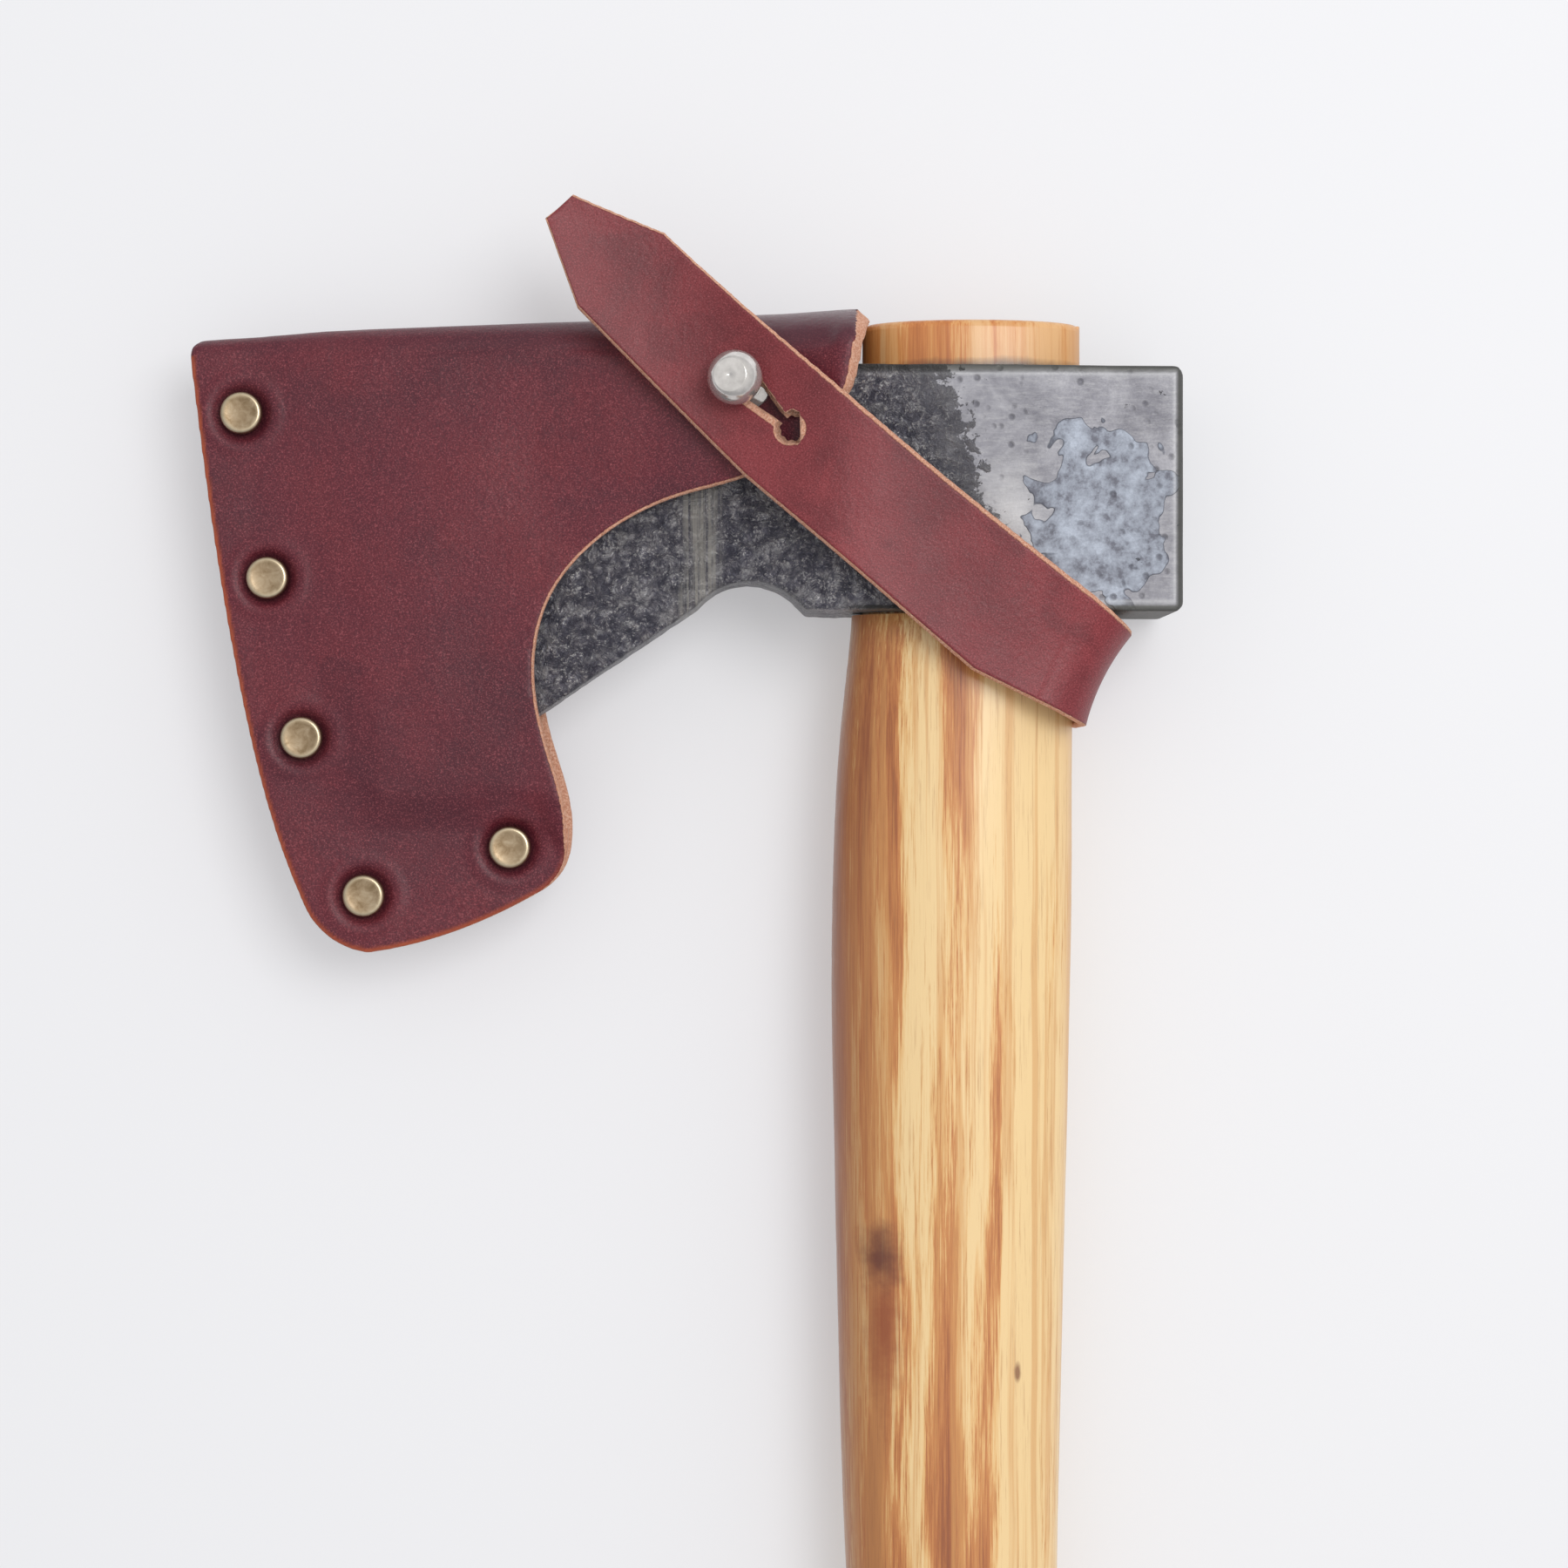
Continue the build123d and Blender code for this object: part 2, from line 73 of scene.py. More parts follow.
def to_mm(coords):
    """Rows of frame coordinates in metres, as millimetres about the eye."""
    return (coords - np.array(eye)) / MM


def to_frame(coords):
    """Rows of millimetres about the eye, as frame coordinates in metres."""
    return coords * MM + np.array(eye)


# ---------------------------------------------------------------- mesh helpers

def mesh_object(name, verts, faces, smooth=True):
    """A new object from vertices in frame metres."""
    mesh = bpy.data.meshes.new(name)
    mesh.from_pydata([tuple(v) for v in verts], [], faces)
    mesh.update()
    if smooth:
        mesh.shade_smooth()
    obj = bpy.data.objects.new(name, mesh)
    bpy.context.collection.objects.link(obj)
    return obj


def coordinates(mesh):
    """A mesh's vertices as rows."""
    flat = np.empty(len(mesh.vertices) * 3, dtype=np.float32)
    mesh.vertices.foreach_get("co", flat)
    return flat.reshape(-1, 3).astype(float)


def normals(mesh):
    """A mesh's vertex normals as rows."""
    flat = np.empty(len(mesh.vertices) * 3, dtype=np.float32)
    mesh.vertex_normals.foreach_get("vector", flat)
    return flat.reshape(-1, 3).astype(float)


def set_coordinates(mesh, coords):
    """Moves a mesh's vertices to rows of coordinates."""
    mesh.vertices.foreach_set("co", coords.astype(np.float32).ravel())
    mesh.update()


def set_values(mesh, name, values):
    """Stores one number per vertex for the materials to read."""
    layer = mesh.attributes.new(name, "FLOAT", "POINT")
    layer.data.foreach_set("value", values.astype(np.float32))


def applied(obj):
    """Replaces an object's mesh with the result of its modifiers."""
    graph = bpy.context.evaluated_depsgraph_get()
    result = bpy.data.meshes.new_from_object(obj.evaluated_get(graph))
    obj.modifiers.clear()
    obj.data = result
    return obj


def remeshed(name, node, voxel, smoothing):
    """A fine even mesh of a CAD node's shape, with its sharp corners softened."""
    obj = bpy.data.objects.new(name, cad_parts[node].data.copy())
    bpy.context.collection.objects.link(obj)
    obj.data.materials.clear()
    remesh = obj.modifiers.new("even", "REMESH")
    remesh.mode = "VOXEL"
    remesh.voxel_size = voxel * MM
    soften = obj.modifiers.new("soften", "SMOOTH")
    soften.factor = 0.5
    soften.iterations = smoothing
    applied(obj)
    obj.data.shade_smooth()
    return obj


def rough_noise(points, size, seed):
    """Smooth noise from -1 to 1 at each row of points, with features about that many millimetres across."""
    offset = Vector((seed * 17.3, seed * 5.1, seed * 9.7))
    return np.array([noise.noise(Vector(p) / size + offset) for p in points])


def step(low, high, values):
    """0 below low, 1 above high and smooth between."""
    t = np.clip((values - low) / (high - low), 0, 1)
    return t * t * (3 - 2 * t)


# ---------------------------------------------------------------- material helpers

class Shader:
    """Builds one material's nodes."""

    def __init__(self, name):
        self.material = bpy.data.materials.new(name)
        self.material.use_nodes = True
        self.tree = self.material.node_tree
        self.bsdf = self.tree.nodes["Principled BSDF"]

    def node(self, kind, inputs=None, **settings):
        """A new node with its settings, and its inputs set to values or linked to sockets."""
        made = self.tree.nodes.new("ShaderNode" + kind)
        for key, value in settings.items():
            setattr(made, key, value)
        for key, value in (inputs or {}).items():
            self.put(made.inputs[key], value)
        return made

    def put(self, socket, value):
        """Sets a socket to a value, or links another socket to it."""
        if isinstance(value, bpy.types.NodeSocket):
            self.tree.links.new(value, socket)
        else:
            socket.default_value = value

    def surface(self, **inputs):
        """Sets the surface's inputs, named with _ for each space."""
        for key, value in inputs.items():
            self.put(self.bsdf.inputs[key.replace("_", " ")], value)

    def position(self, scale=(1, 1, 1), shift=(0, 0, 0)):
        """Millimetres about the eye, scaled, for textures that stay with the piece."""
        where = self.node("TexCoord").outputs["Object"]
        about_eye = self.node("VectorMath", {0: where, 1: tuple(eye)}, operation="SUBTRACT").outputs[0]
        size = tuple(s / MM for s in scale)
        return self.node("Mapping", {"Vector": about_eye, "Scale": size, "Location": shift}).outputs[0]

    def stored(self, name):
        """A number that the mesh stores at each vertex."""
        return self.node("Attribute", attribute_name=name).outputs["Fac"]

    def stored_position(self, name):
        """A place that the mesh stores at each vertex, for textures that follow a bent strap."""
        return self.node("Attribute", attribute_name=name).outputs["Vector"]

    def noise(self, vector, scale, detail=4, roughness=0.55, distortion=0):
        inputs = {"Vector": vector, "Scale": scale, "Detail": detail, "Roughness": roughness,
                  "Distortion": distortion}
        return self.node("TexNoise", inputs).outputs["Fac"]

    def cells(self, vector, scale):
        """Distance from the middles of scattered cells."""
        return self.node("TexVoronoi", {"Vector": vector, "Scale": scale}).outputs["Distance"]

    def ramp(self, value, *stops):
        """A value remapped through (position, grey or colour) stops."""
        made = self.node("ValToRGB", {"Fac": value})
        ramp = made.color_ramp
        while len(ramp.elements) < len(stops):
            ramp.elements.new(0.5)
        for element, (position, color) in zip(ramp.elements, stops):
            element.position = position
            element.color = (*color, 1) if isinstance(color, tuple) else (color, color, color, 1)
        return made.outputs["Color"]

    def math(self, operation, a, b=0.0):
        return self.node("Math", {0: a, 1: b}, operation=operation).outputs[0]

    def plus(self, a, b):
        return self.math("ADD", a, b)

    def minus(self, a, b):
        return self.math("SUBTRACT", a, b)

    def times(self, a, b):
        return self.math("MULTIPLY", a, b)

    def between(self, value, low, high, at_low, at_high):
        """A value's way from low to high, as the same way from at_low to at_high, clamped at both."""
        inputs = {"Value": value, "From Min": low, "From Max": high, "To Min": at_low, "To Max": at_high}
        return self.node("MapRange", inputs).outputs[0]

    def moved(self, vector, by):
        """A vector with another added to it."""
        return self.node("VectorMath", {0: vector, 1: by}, operation="ADD").outputs[0]

    def length(self, vector):
        return self.node("VectorMath", {0: vector}, operation="LENGTH").outputs["Value"]

    def coordinate(self, axis):
        """One of the three millimetre coordinates about the eye."""
        return self.node("SeparateXYZ", {"Vector": self.position()}).outputs[axis]

    def mix(self, amount, a, b):
        """From a to b, as colours or greys."""
        made = self.node("Mix", data_type="RGBA")
        for socket, value in ((made.inputs[0], amount), (made.inputs[6], a), (made.inputs[7], b)):
            if isinstance(value, tuple):
                value = (*value, 1)
            self.put(socket, value)
        return made.outputs[2]

    def bump(self, height, strength, distance, below=None):
        """A normal tilted by a height, on top of another bump where one is given."""
        inputs = {"Height": height, "Strength": strength, "Distance": distance * MM}
        if below is not None:
            inputs["Normal"] = below
        return self.node("Bump", inputs).outputs[0]

    def blob(self, x, y, rx, ry, soft, wobble):
        """1 inside an ellipse seen from above, 0 outside, with a soft and wandering rim."""
        length = self.length(self.position((1 / rx, 1 / ry, 0), (-x / rx, -y / ry, 0)))
        wander = self.noise(self.position(), 0.25, 5)
        length = self.plus(length, self.times(self.minus(wander, 0.5), wobble))
        return self.ramp(length, (max(0.0, 1 - soft), 1.0), (1.0, 0.0))


def srgb(red, green, blue):
    """A colour from 0 to 255 as the linear values that shaders take."""
    values = []
    for channel in (red, green, blue):
        c = channel / 255
        values.append(c / 12.92 if c <= 0.04045 else ((c + 0.055) / 1.055) ** 2.4)
    return tuple(values)


# ---------------------------------------------------------------- leather

RAW_DARK = srgb(178, 108, 80)
RAW = srgb(222, 164, 136)
RAW_LIGHT = srgb(248, 214, 190)


def raw_fibres(s, where):
    """The colour and height of cut leather's tan fibres."""
    threads = s.noise(where, 2.6, 5, 0.75)
    return s.ramp(threads, (0.3, RAW_DARK), (0.5, RAW), (0.7, RAW_LIGHT)), threads


def leather_material(name, base, dark, light, laid_flat=None):
    """Dyed vegetable-tanned leather: mottled dye, fine speckled grain, tan fibres at its cut edges, and
    painted shade along the fold and round the rivets.
    """
    s = Shader(name)
    where = s.stored_position(laid_flat) if laid_flat else s.position()
    mottle = s.noise(where, 0.03, 4, 0.55)
    patches = s.noise(where, 0.16, 6, 0.62, 0.4)
    color = s.ramp(mottle, (0.32, dark), (0.5, base), (0.7, light))
    color = s.mix(s.ramp(patches, (0.4, 0.0), (0.75, 0.4)), color, light)
    clouds = s.noise(where, 0.075, 5, 0.6, 0.6)
    color = s.mix(s.ramp(clouds, (0.36, 0.5), (0.5, 0.0)), color, dark)
    speckle = s.noise(where, 3.2, 2, 0.8)
    color = s.mix(s.ramp(speckle, (0.32, 0.8), (0.5, 0.0)), color, dark)
    color = s.mix(s.ramp(speckle, (0.52, 0.0), (0.7, 0.45)), color, srgb(180, 98, 104))
    scuffs = s.noise(where, 0.5, 8, 0.75, 1.8)
    color = s.mix(s.ramp(scuffs, (0.66, 0.0), (0.76, 0.22)), color, srgb(176, 120, 112))
    # Painted shade along the fold, where the leather turns away from the light.
    color = s.mix(s.times(s.stored("fold"), 0.75), color, srgb(78, 44, 54))
    # Painted shade in a ring round each rivet's cap.
    color = s.mix(s.times(s.stored("rivet_shade"), 0.6), color, srgb(50, 24, 28))
    color = s.mix(s.times(s.stored("burnished"), 0.8), color, srgb(176, 84, 48))
    raw_color, threads = raw_fibres(s, where)
    wander = s.times(s.minus(threads, 0.5), 0.7)
    from_rim = s.plus(s.stored("rim_distance"), wander)
    from_rim = s.math("MINIMUM", from_rim, s.plus(s.stored("hole_distance"), wander))
    raw = s.ramp(from_rim, (0.36, 1.0), (0.5, 0.0))
    color = s.mix(raw, color, raw_color)
    normal = s.bump(s.cells(where, 1.15), 0.22, 0.14)
    normal = s.bump(s.noise(where, 0.6, 7, 0.68), 0.35, 0.4, normal)
    normal = s.bump(s.times(threads, raw), 0.8, 0.5, normal)
    rough = s.ramp(patches, (0.3, 0.36), (0.8, 0.5))
    rough = s.mix(s.stored("fold"), rough, (0.24, 0.24, 0.24))
    rough = s.mix(raw, rough, (0.9, 0.9, 0.9))
    s.surface(Base_Color=color, Roughness=rough, Normal=normal, Specular_IOR_Level=0.36)
    return s.material


LEATHER_BASE = srgb(92, 26, 40)
LEATHER_DARK = srgb(70, 22, 36)
LEATHER_LIGHT = srgb(104, 32, 41)
STRAP_BASE = srgb(118, 41, 47)
STRAP_DARK = srgb(86, 27, 34)
STRAP_LIGHT = srgb(134, 52, 57)

# The rivets' places in plan, and the strap's lengths from its root to its tip.
RIVETS = [(-136.2, 14.4), (-131.3, -16.6), (-124.9, -46.7), (-113.2, -76.4), (-85.7, -67.3)]
SEGMENT_NODES = ["strap_bend_1", "strap_bend_2", "strap_side", "strap_bend_3", "strap_bend_4",
                 "strap_front"]
LEATHER = 2.5                    # thickness
FOLD_START = 25.0                # the panels are flat below this height and fold over above it
FOLD_TOP = 34.3                  # the fold's outermost line
HALF_INSIDE = 15.85              # half the space between the panels at the fold
MOUTH_X = -20.0                  # the open end beside the handle
BEND = math.radians(66)          # direction of the line that the strap bends about
ACROSS = np.array((math.sin(BEND), -math.cos(BEND)))
ALONG = np.array((math.cos(BEND), math.sin(BEND)))
STRAP_START = 29.0               # where the strap's own mesh takes over from its root, across the bend line
SEAT_REACH = 4.2                 # radius of the leather pressed in under a rivet's cap
SEAT_SLOPE = 6.0                 # radius where the panel is level again
SEAT_DEPTH = 0.85
SWELL = 6.9                      # radius of the raised ring round a seat
SWELL_HEIGHT = 0.3
BACK_LIFT = 0.5                  # how far the back panel is drawn in, clear of the table
LIP_OUT = 2.4                    # how far the mouth's lip turns out at its inner side
LIP_BACK = 0.5                   # and draws back at its outer side
LIP_LIFT = 0.7                   # and stands up
BACK_LARGER = 0.5                # how far the back panel shows beyond the front below the beard
NO_RIM = 9.0                     # stands for a place far from any cut edge


def rivet_seats(x, y):
    """How far the rivets press the panels in, and a ring of painted shade round each cap."""
    pull = np.zeros(len(x))
    dark = np.zeros(len(x))
    for rx, ry in RIVETS:
        d = np.hypot(x - rx, y - ry)
        pull += SEAT_DEPTH * (1 - step(SEAT_REACH, SEAT_SLOPE, d))
        pull -= SWELL_HEIGHT * np.exp(-((d - SWELL) / 1.1) ** 2)
        dark += np.exp(-((d - SEAT_REACH) / 0.75) ** 2)
    return pull, np.clip(dark, 0, 1)


def distance_to_walls(co, wall):
    """Distance in plan from each point to the nearest point of the cut walls."""
    tree = kdtree.KDTree(int(wall.sum()))
    for index, (px, py, pz) in enumerate(co[wall]):
        tree.insert((px, py, 0.0), index)
    tree.balance()
    return np.array([tree.find((px, py, 0.0))[2] for px, py, pz in co])


def without(mesh, unwanted):
    """Deletes the chosen vertices of a mesh."""
    bm = bmesh.new()
    bm.from_mesh(mesh)
    bm.verts.ensure_lookup_table()
    bmesh.ops.delete(bm, geom=[bm.verts[int(i)] for i in np.nonzero(unwanted)[0]], context="VERTS")
    bm.to_mesh(mesh)
    bm.free()


def make_sheath():
    """The folded sheath, as an even mesh with pressed rivet seats, a soft fold and raw edges."""
    obj = remeshed("sheath_skin", "sheath_leather", voxel=0.6, smoothing=7)
    mesh = obj.data
    co = to_mm(coordinates(mesh))
    nor = normals(mesh)
    x, y, z = co.T.copy()
    flat_front = step(0.2, 0.7, nor[:, 2]) * (z > 3.0)
    flat_back = step(0.2, 0.7, -nor[:, 2]) * (z < -3.0)
    pull, dark = rivet_seats(x, y)
    wave = rough_noise(co, 26.0, 1) * 0.45 + rough_noise(co, 9.0, 2) * 0.12 - 0.1
    co[:, 2] += (wave - pull) * flat_front - (wave - pull - BACK_LIFT) * flat_back
    in_fold = step(FOLD_START - 1, FOLD_START + 3, y) * step(0.05, 0.25, nor[:, 1])
    wall = (np.abs(nor[:, 2]) < 0.3) & (in_fold < 0.5)
    rim = distance_to_walls(co, wall)
    # The mouth's lip turns out towards the handle's stub and shows its cut edge.
    turn = step(MOUTH_X - 9.0, MOUTH_X, x) * step(6.0, 12.0, y) * step(3.0, 9.0, z)
    rise = np.maximum(y - FOLD_START, 0) / (FOLD_TOP - FOLD_START)
    out_of_fold = np.hypot(rise, z / (HALF_INSIDE + LEATHER))
    depth = np.clip((out_of_fold - 0.8) / 0.2, 0, 1)
    co[:, 0] += (LIP_OUT - (LIP_OUT + LIP_BACK) * depth) * turn
    co[:, 2] += LIP_LIFT * turn * step(0.3, 0.8, nor[:, 2])
    # The back panel is cut a little larger below the beard.
    below = step(-76.0, -66.0, y) * (1 - step(-40.0, -30.0, y)) * step(-92.0, -86.0, x)
    co[:, 0] += BACK_LARGER * below * (z < 1.0) * (1 - step(1.0, 7.0, rim))
    set_coordinates(mesh, to_frame(co))
    # The mouth and the right-hand edges show raw fibres. The left and bottom edges are burnished.
    turned_end = (nor[:, 0] > 0.45) & (x > MOUTH_X - 4)
    raw_side = step(-108.0, -96.0, x) * step(-84.0, -66.0, y - 0.2 * (x + 85))
    near_fold = (in_fold > 0.02) & ~turned_end
    rim_distance = np.where(turned_end, 0.0, np.where(near_fold, NO_RIM, rim))
    rim_distance += 2.0 * (1 - raw_side) * (np.abs(nor[:, 2]) > 0.3)
    # The flesh side, towards the blade, was never dyed.
    outwards = nor[:, 2] * np.sign(z) + nor[:, 1] * step(FOLD_START, FOLD_START + 5, y)
    rim_distance = np.where(outwards < -0.35, 0.0, rim_distance)
    set_values(mesh, "rim_distance", rim_distance)
    set_values(mesh, "hole_distance", np.full(len(co), NO_RIM))
    set_values(mesh, "burnished", (1 - raw_side) * (1 - step(0.35, 1.0, rim)) * ~near_fold)
    # The fold's painted shade is faint on the left and strong towards the mouth.
    set_values(mesh, "fold", in_fold * (0.35 + 0.65 * step(-110.0, -35.0, x)))
    # A ring of painted shade round each rivet's cap, on both panels.
    set_values(mesh, "rivet_shade", dark * (flat_front + flat_back))
    # The strap's own mesh carries on from its root behind the head.
    reach = x * ACROSS[0] + y * ACROSS[1]
    without(mesh, (reach > STRAP_START) & (z < -10))
    mesh.materials.append(leather_material("sheath_hide", LEATHER_BASE, LEATHER_DARK, LEATHER_LIGHT))
    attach(obj, "sheath")
    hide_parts("sheath_leather")


# ---------------------------------------------------------------- strap

# The strap's outline in plan, from the tip to the bend beside the handle.
UPPER_EDGE = [(-78.0, 48.5), (-72.9, 53.3), (-56.1, 46.5)]
LOWER_EDGE = [(-78.0, 48.5), (-72.2, 32.3), (-41.2, 1.1), (-15.9, -20.6), (0.5, -34.6), (20.6, -44.3),
              (38.0, -51.8)]
UPPER_ARC = [(-56.1, 46.5), (-9.5, 5.3), (29.7, -25.7)]
UPPER_END = (46.0, -36.8)
# (X, height) of the front leg's underside: low over the sheath's panel, high over the eye's cheek.
UNDER = [(-82, 16.2), (-66, 13.6), (-56, 12.8), (-46, 13.4), (-36, 15.7), (-27, 18.1), (-21, 18.8),
         (-14, 18.2), (-6, 17.3), (60, 17.0)]
BACK_OUTER = -18.3               # height of the strap's outer face behind the head
FRONT_OUTER = 19.5               # and in front of it, where it comes round
WRAP_REACH = 39.7                # how far out the wrap reaches, across the bend line
BACK_R = 9.0                     # outer radii of the wrap's two bends
FRONT_R = 12.0
BACK_START = WRAP_REACH - BACK_R
FRONT_START = WRAP_REACH - FRONT_R
WAIST = 1.5                      # how far the wrap is drawn in halfway across its width
LOWER_TUCK = 1.1                 # how far its lower edge hugs the handle
DIP = 0.7                        # how much of that also draws the front leg down
STRAP_ROWS = 40                  # points across each face of the strap
Ring = namedtuple("Ring", "points places rim_distance length part")


def arc_through(a, b, c, count):
    """Points along the circle through three points."""
    ax, ay = a
    bx, by = b
    cx, cy = c
    d = 2 * (ax * (by - cy) + bx * (cy - ay) + cx * (ay - by))
    ux = ((ax**2 + ay**2) * (by - cy) + (bx**2 + by**2) * (cy - ay) + (cx**2 + cy**2) * (ay - by)) / d
    uy = ((ax**2 + ay**2) * (cx - bx) + (bx**2 + by**2) * (ax - cx) + (cx**2 + cy**2) * (bx - ax)) / d
    start = math.atan2(ay - uy, ax - ux)
    turn = (math.atan2(cy - uy, cx - ux) - start + math.pi) % (2 * math.pi) - math.pi
    radius = math.hypot(ax - ux, ay - uy)
    angles = [start + turn * i / (count - 1) for i in range(count)]
    return [(ux + radius * math.cos(t), uy + radius * math.sin(t)) for t in angles]


def rounded(points, window, positions):
    """Interpolates (position, value) points and rounds their corners over a window."""
    px, pv = zip(*points)
    offsets = np.linspace(-window, window, 9)
    return np.mean([np.interp(positions + o, px, pv) for o in offsets], axis=0)


def edge_lookup(points):
    """An outline's points as (reach across the bend line, place along it)."""
    pts = np.array(points)
    return list(zip(pts @ ACROSS, pts @ ALONG))


UNDER_X = np.arange(-90.0, 60.0, 0.5)
UNDER_Z = rounded(UNDER, 4.0, UNDER_X)
upper = edge_lookup(UPPER_EDGE[:2] + arc_through(*UPPER_ARC, 30) + [UPPER_END])
lower = edge_lookup(LOWER_EDGE)


def strap_path():
    """Stations along the strap's outer face from the root to the tip, as (reach, height, angle, part)."""
    back_z = BACK_OUTER + BACK_R
    front_z = FRONT_OUTER - FRONT_R
    stations = []
    for s in np.linspace(STRAP_START, BACK_START, 4)[:-1]:
        stations.append((s, BACK_OUTER, -90.0, "root"))
    for a in np.linspace(-90, 0, 19):
        t = math.radians(a)
        part = "bend_1" if a < -45 else "bend_2"
        stations.append((BACK_START + BACK_R * math.cos(t), back_z + BACK_R * math.sin(t), a, part))
    for h in np.linspace(back_z, front_z, 20)[1:]:
        stations.append((WRAP_REACH, h, 0.0, "side"))
    for a in np.linspace(0, 90, 25)[1:]:
        t = math.radians(a)
        part = "bend_3" if a <= 45 else "bend_4"
        stations.append((FRONT_START + FRONT_R * math.cos(t), front_z + FRONT_R * math.sin(t), a, part))
    tip = upper[0][0]
    corners = [s for s, t in upper[1:3] + lower[1:2]]
    for s in sorted([*np.linspace(FRONT_START, tip + 0.05, 250)[1:], *corners], reverse=True):
        stations.append((s, None, 90.0, "front"))
    return stations


def strap_points(station):
    """Points round the strap's section, their places across it, and distances from its cut edges."""
    s, z, angle, part = station
    low = float(np.interp(s, *zip(*lower)))
    high = float(np.interp(s, *zip(*upper)))
    spot = 0.0 if z is None else z
    # The cut edges wander a little.
    high -= 0.10 * noise.noise(Vector((s * 1.3, 9.4, spot))) + 0.08
    low += 0.07 * noise.noise(Vector((s * 1.1, 3.1, spot))) + 0.05
    width = max(high - low, 0.3)
    # How far in the cut edges slope. The upper one's slope widens towards the handle.
    skive = min(1.0, width / 4)
    bared = (0.55 + 0.4 * float(step(-70.0, -10.0, s))) * skive if part == "front" else 0.95 * skive
    middle = np.linspace(low + 0.45 * skive, high - bared, STRAP_ROWS)
    # The outer face, the upper cut edge, the inner face and the lower cut edge, as (place, depth).
    ring = [(t, 0.0) for t in middle]
    ring += [(high - 0.35 * skive, 0.4), (high - 0.05 * skive, 1.1), (high, 1.8), (high - 0.2 * skive, 2.4)]
    ring += [(t, LEATHER) for t in np.linspace(high - 0.4 * skive, low + 0.4 * skive, STRAP_ROWS)]
    ring += [(low + 0.2 * skive, 2.4), (low, 1.8), (low + 0.05 * skive, 1.1), (low + 0.2 * skive, 0.4)]
    points = []
    rim_distance = []
    u = (high - np.array([t for t, depth in ring])) / width
    hollow = WAIST * 4 * u * (1 - u) + LOWER_TUCK * u**2
    for (t, depth), tuck, across in zip(ring, hollow, u):
        if part == "front":
            plan = ACROSS * s + ALONG * t
            under = float(np.interp(plan[0], UNDER_X, UNDER_Z))
            wrap = float(step(FRONT_START - 16.0, FRONT_START, s))
            curl = 0.4 * (1 - 2 * across) ** 2 * (1 - wrap)
            points.append((plan[0], plan[1], under + LEATHER - depth + curl - DIP * tuck * wrap))
        else:
            a = math.radians(angle)
            turned = max(0.0, math.cos(a))
            thin = depth * (1 - 0.3 * across**3)
            reach = s - thin * turned - tuck * turned**2
            plan = ACROSS * reach + ALONG * t
            dip = DIP * tuck * max(0.0, math.sin(a))
            points.append((plan[0], plan[1], z - depth * math.sin(a) - dip))
        from_high = (high - t) * 0.43 * skive / bared
        rim_distance.append(0.0 if depth > 0.3 else min(from_high, t - low))
    return points, [t for t, depth in ring], rim_distance


STUD_FOOT = (-41.0, 18.9, 12.48)
STUD_TILT = math.radians(13)
SLIT_STOP = (-32.7, 10.1)        # middle of the round hole that ends the slit
# (way along the slit, how far its left lip stands off, and its right lip)
SLIT_LIPS = [(0.0, 1.9, 1.9), (4.5, 1.5, 1.1), (8.0, 0.6, 0.4)]
SLIT_END = 0.3                   # half its width at the round hole
SLIT_FLOOR = 13.0                # height just below the strap's front leg at the slit
SLIT_CEILING = 19.5              # and above it
NECK_HOLE = 2.4                  # radius of the hole round the stud's neck
STOP_HOLE = 1.15                 # radius of the round hole


def from_keyhole(points):
    """Distance in plan from the torn lips of the slit and its stop hole, for points on the strap's front."""
    # The lips are torn further on the lower left, so their middle line is a little off the slit's.
    foot = np.array(STUD_FOOT[:2]) + np.array((-1.3, -0.7))
    run = np.array(SLIT_STOP) + np.array((-0.4, -0.4)) - foot
    plan = points[:, :2]
    t = np.clip(((plan - foot) @ run) / (run @ run), 0, 1)
    from_slit = np.linalg.norm(plan - foot - t[:, None] * run, axis=1)
    from_slit -= 2.2 - 1.4 * t
    from_stop = np.linalg.norm(plan - np.array(SLIT_STOP) - np.array((-0.35, -0.35)), axis=1) - 2.6
    lips = np.minimum(from_slit, from_stop)
    return np.where(points[:, 2] > SLIT_FLOOR, np.maximum(lips, 0.0), NO_RIM)


def strap_mesh(name, rings, closed):
    """A piece of strap from its rings, closed at the tip or open where the next piece carries on."""
    count = len(rings[0].points)
    verts = [p for ring in rings for p in ring.points]
    faces = []
    for i in range(len(rings) - 1):
        for j in range(count):
            k = (j + 1) % count
            faces.append((i * count + j, (i + 1) * count + j, (i + 1) * count + k, i * count + k))
    if closed:
        last = (len(rings) - 1) * count
        faces.append(tuple(last + j for j in reversed(range(count))))
    obj = mesh_object(name, to_frame(np.array(verts)), faces)
    flat = obj.data.attributes.new("flat", "FLOAT_VECTOR", "POINT")
    rows = [(ring.length, t, 0.0) for ring in rings for t in ring.places]
    flat.data.foreach_set("vector", np.array(rows, dtype=np.float32).ravel())
    set_values(obj.data, "rim_distance", np.array([r for ring in rings for r in ring.rim_distance]))
    set_values(obj.data, "hole_distance", from_keyhole(np.array(verts)))
    for unused in ("burnished", "fold", "rivet_shade"):
        set_values(obj.data, unused, np.zeros(len(obj.data.vertices)))
    return obj


def funnel(name, outline, spread, bottom, top):
    """A closed cutter over an outline in millimetres, wider at its top."""
    n = len(outline)
    middle = np.mean(outline, axis=0)
    verts = [(x, y, bottom) for x, y in outline]
    for point in outline:
        out = (point - middle) / np.linalg.norm(point - middle)
        verts.append((*(point + out * spread), top))
    faces = [tuple(reversed(range(n))), tuple(range(n, 2 * n))]
    faces += [(i, (i + 1) % n, n + (i + 1) % n, n + i) for i in range(n)]
    return mesh_object(name, to_frame(np.array(verts, dtype=float)), faces, smooth=False)


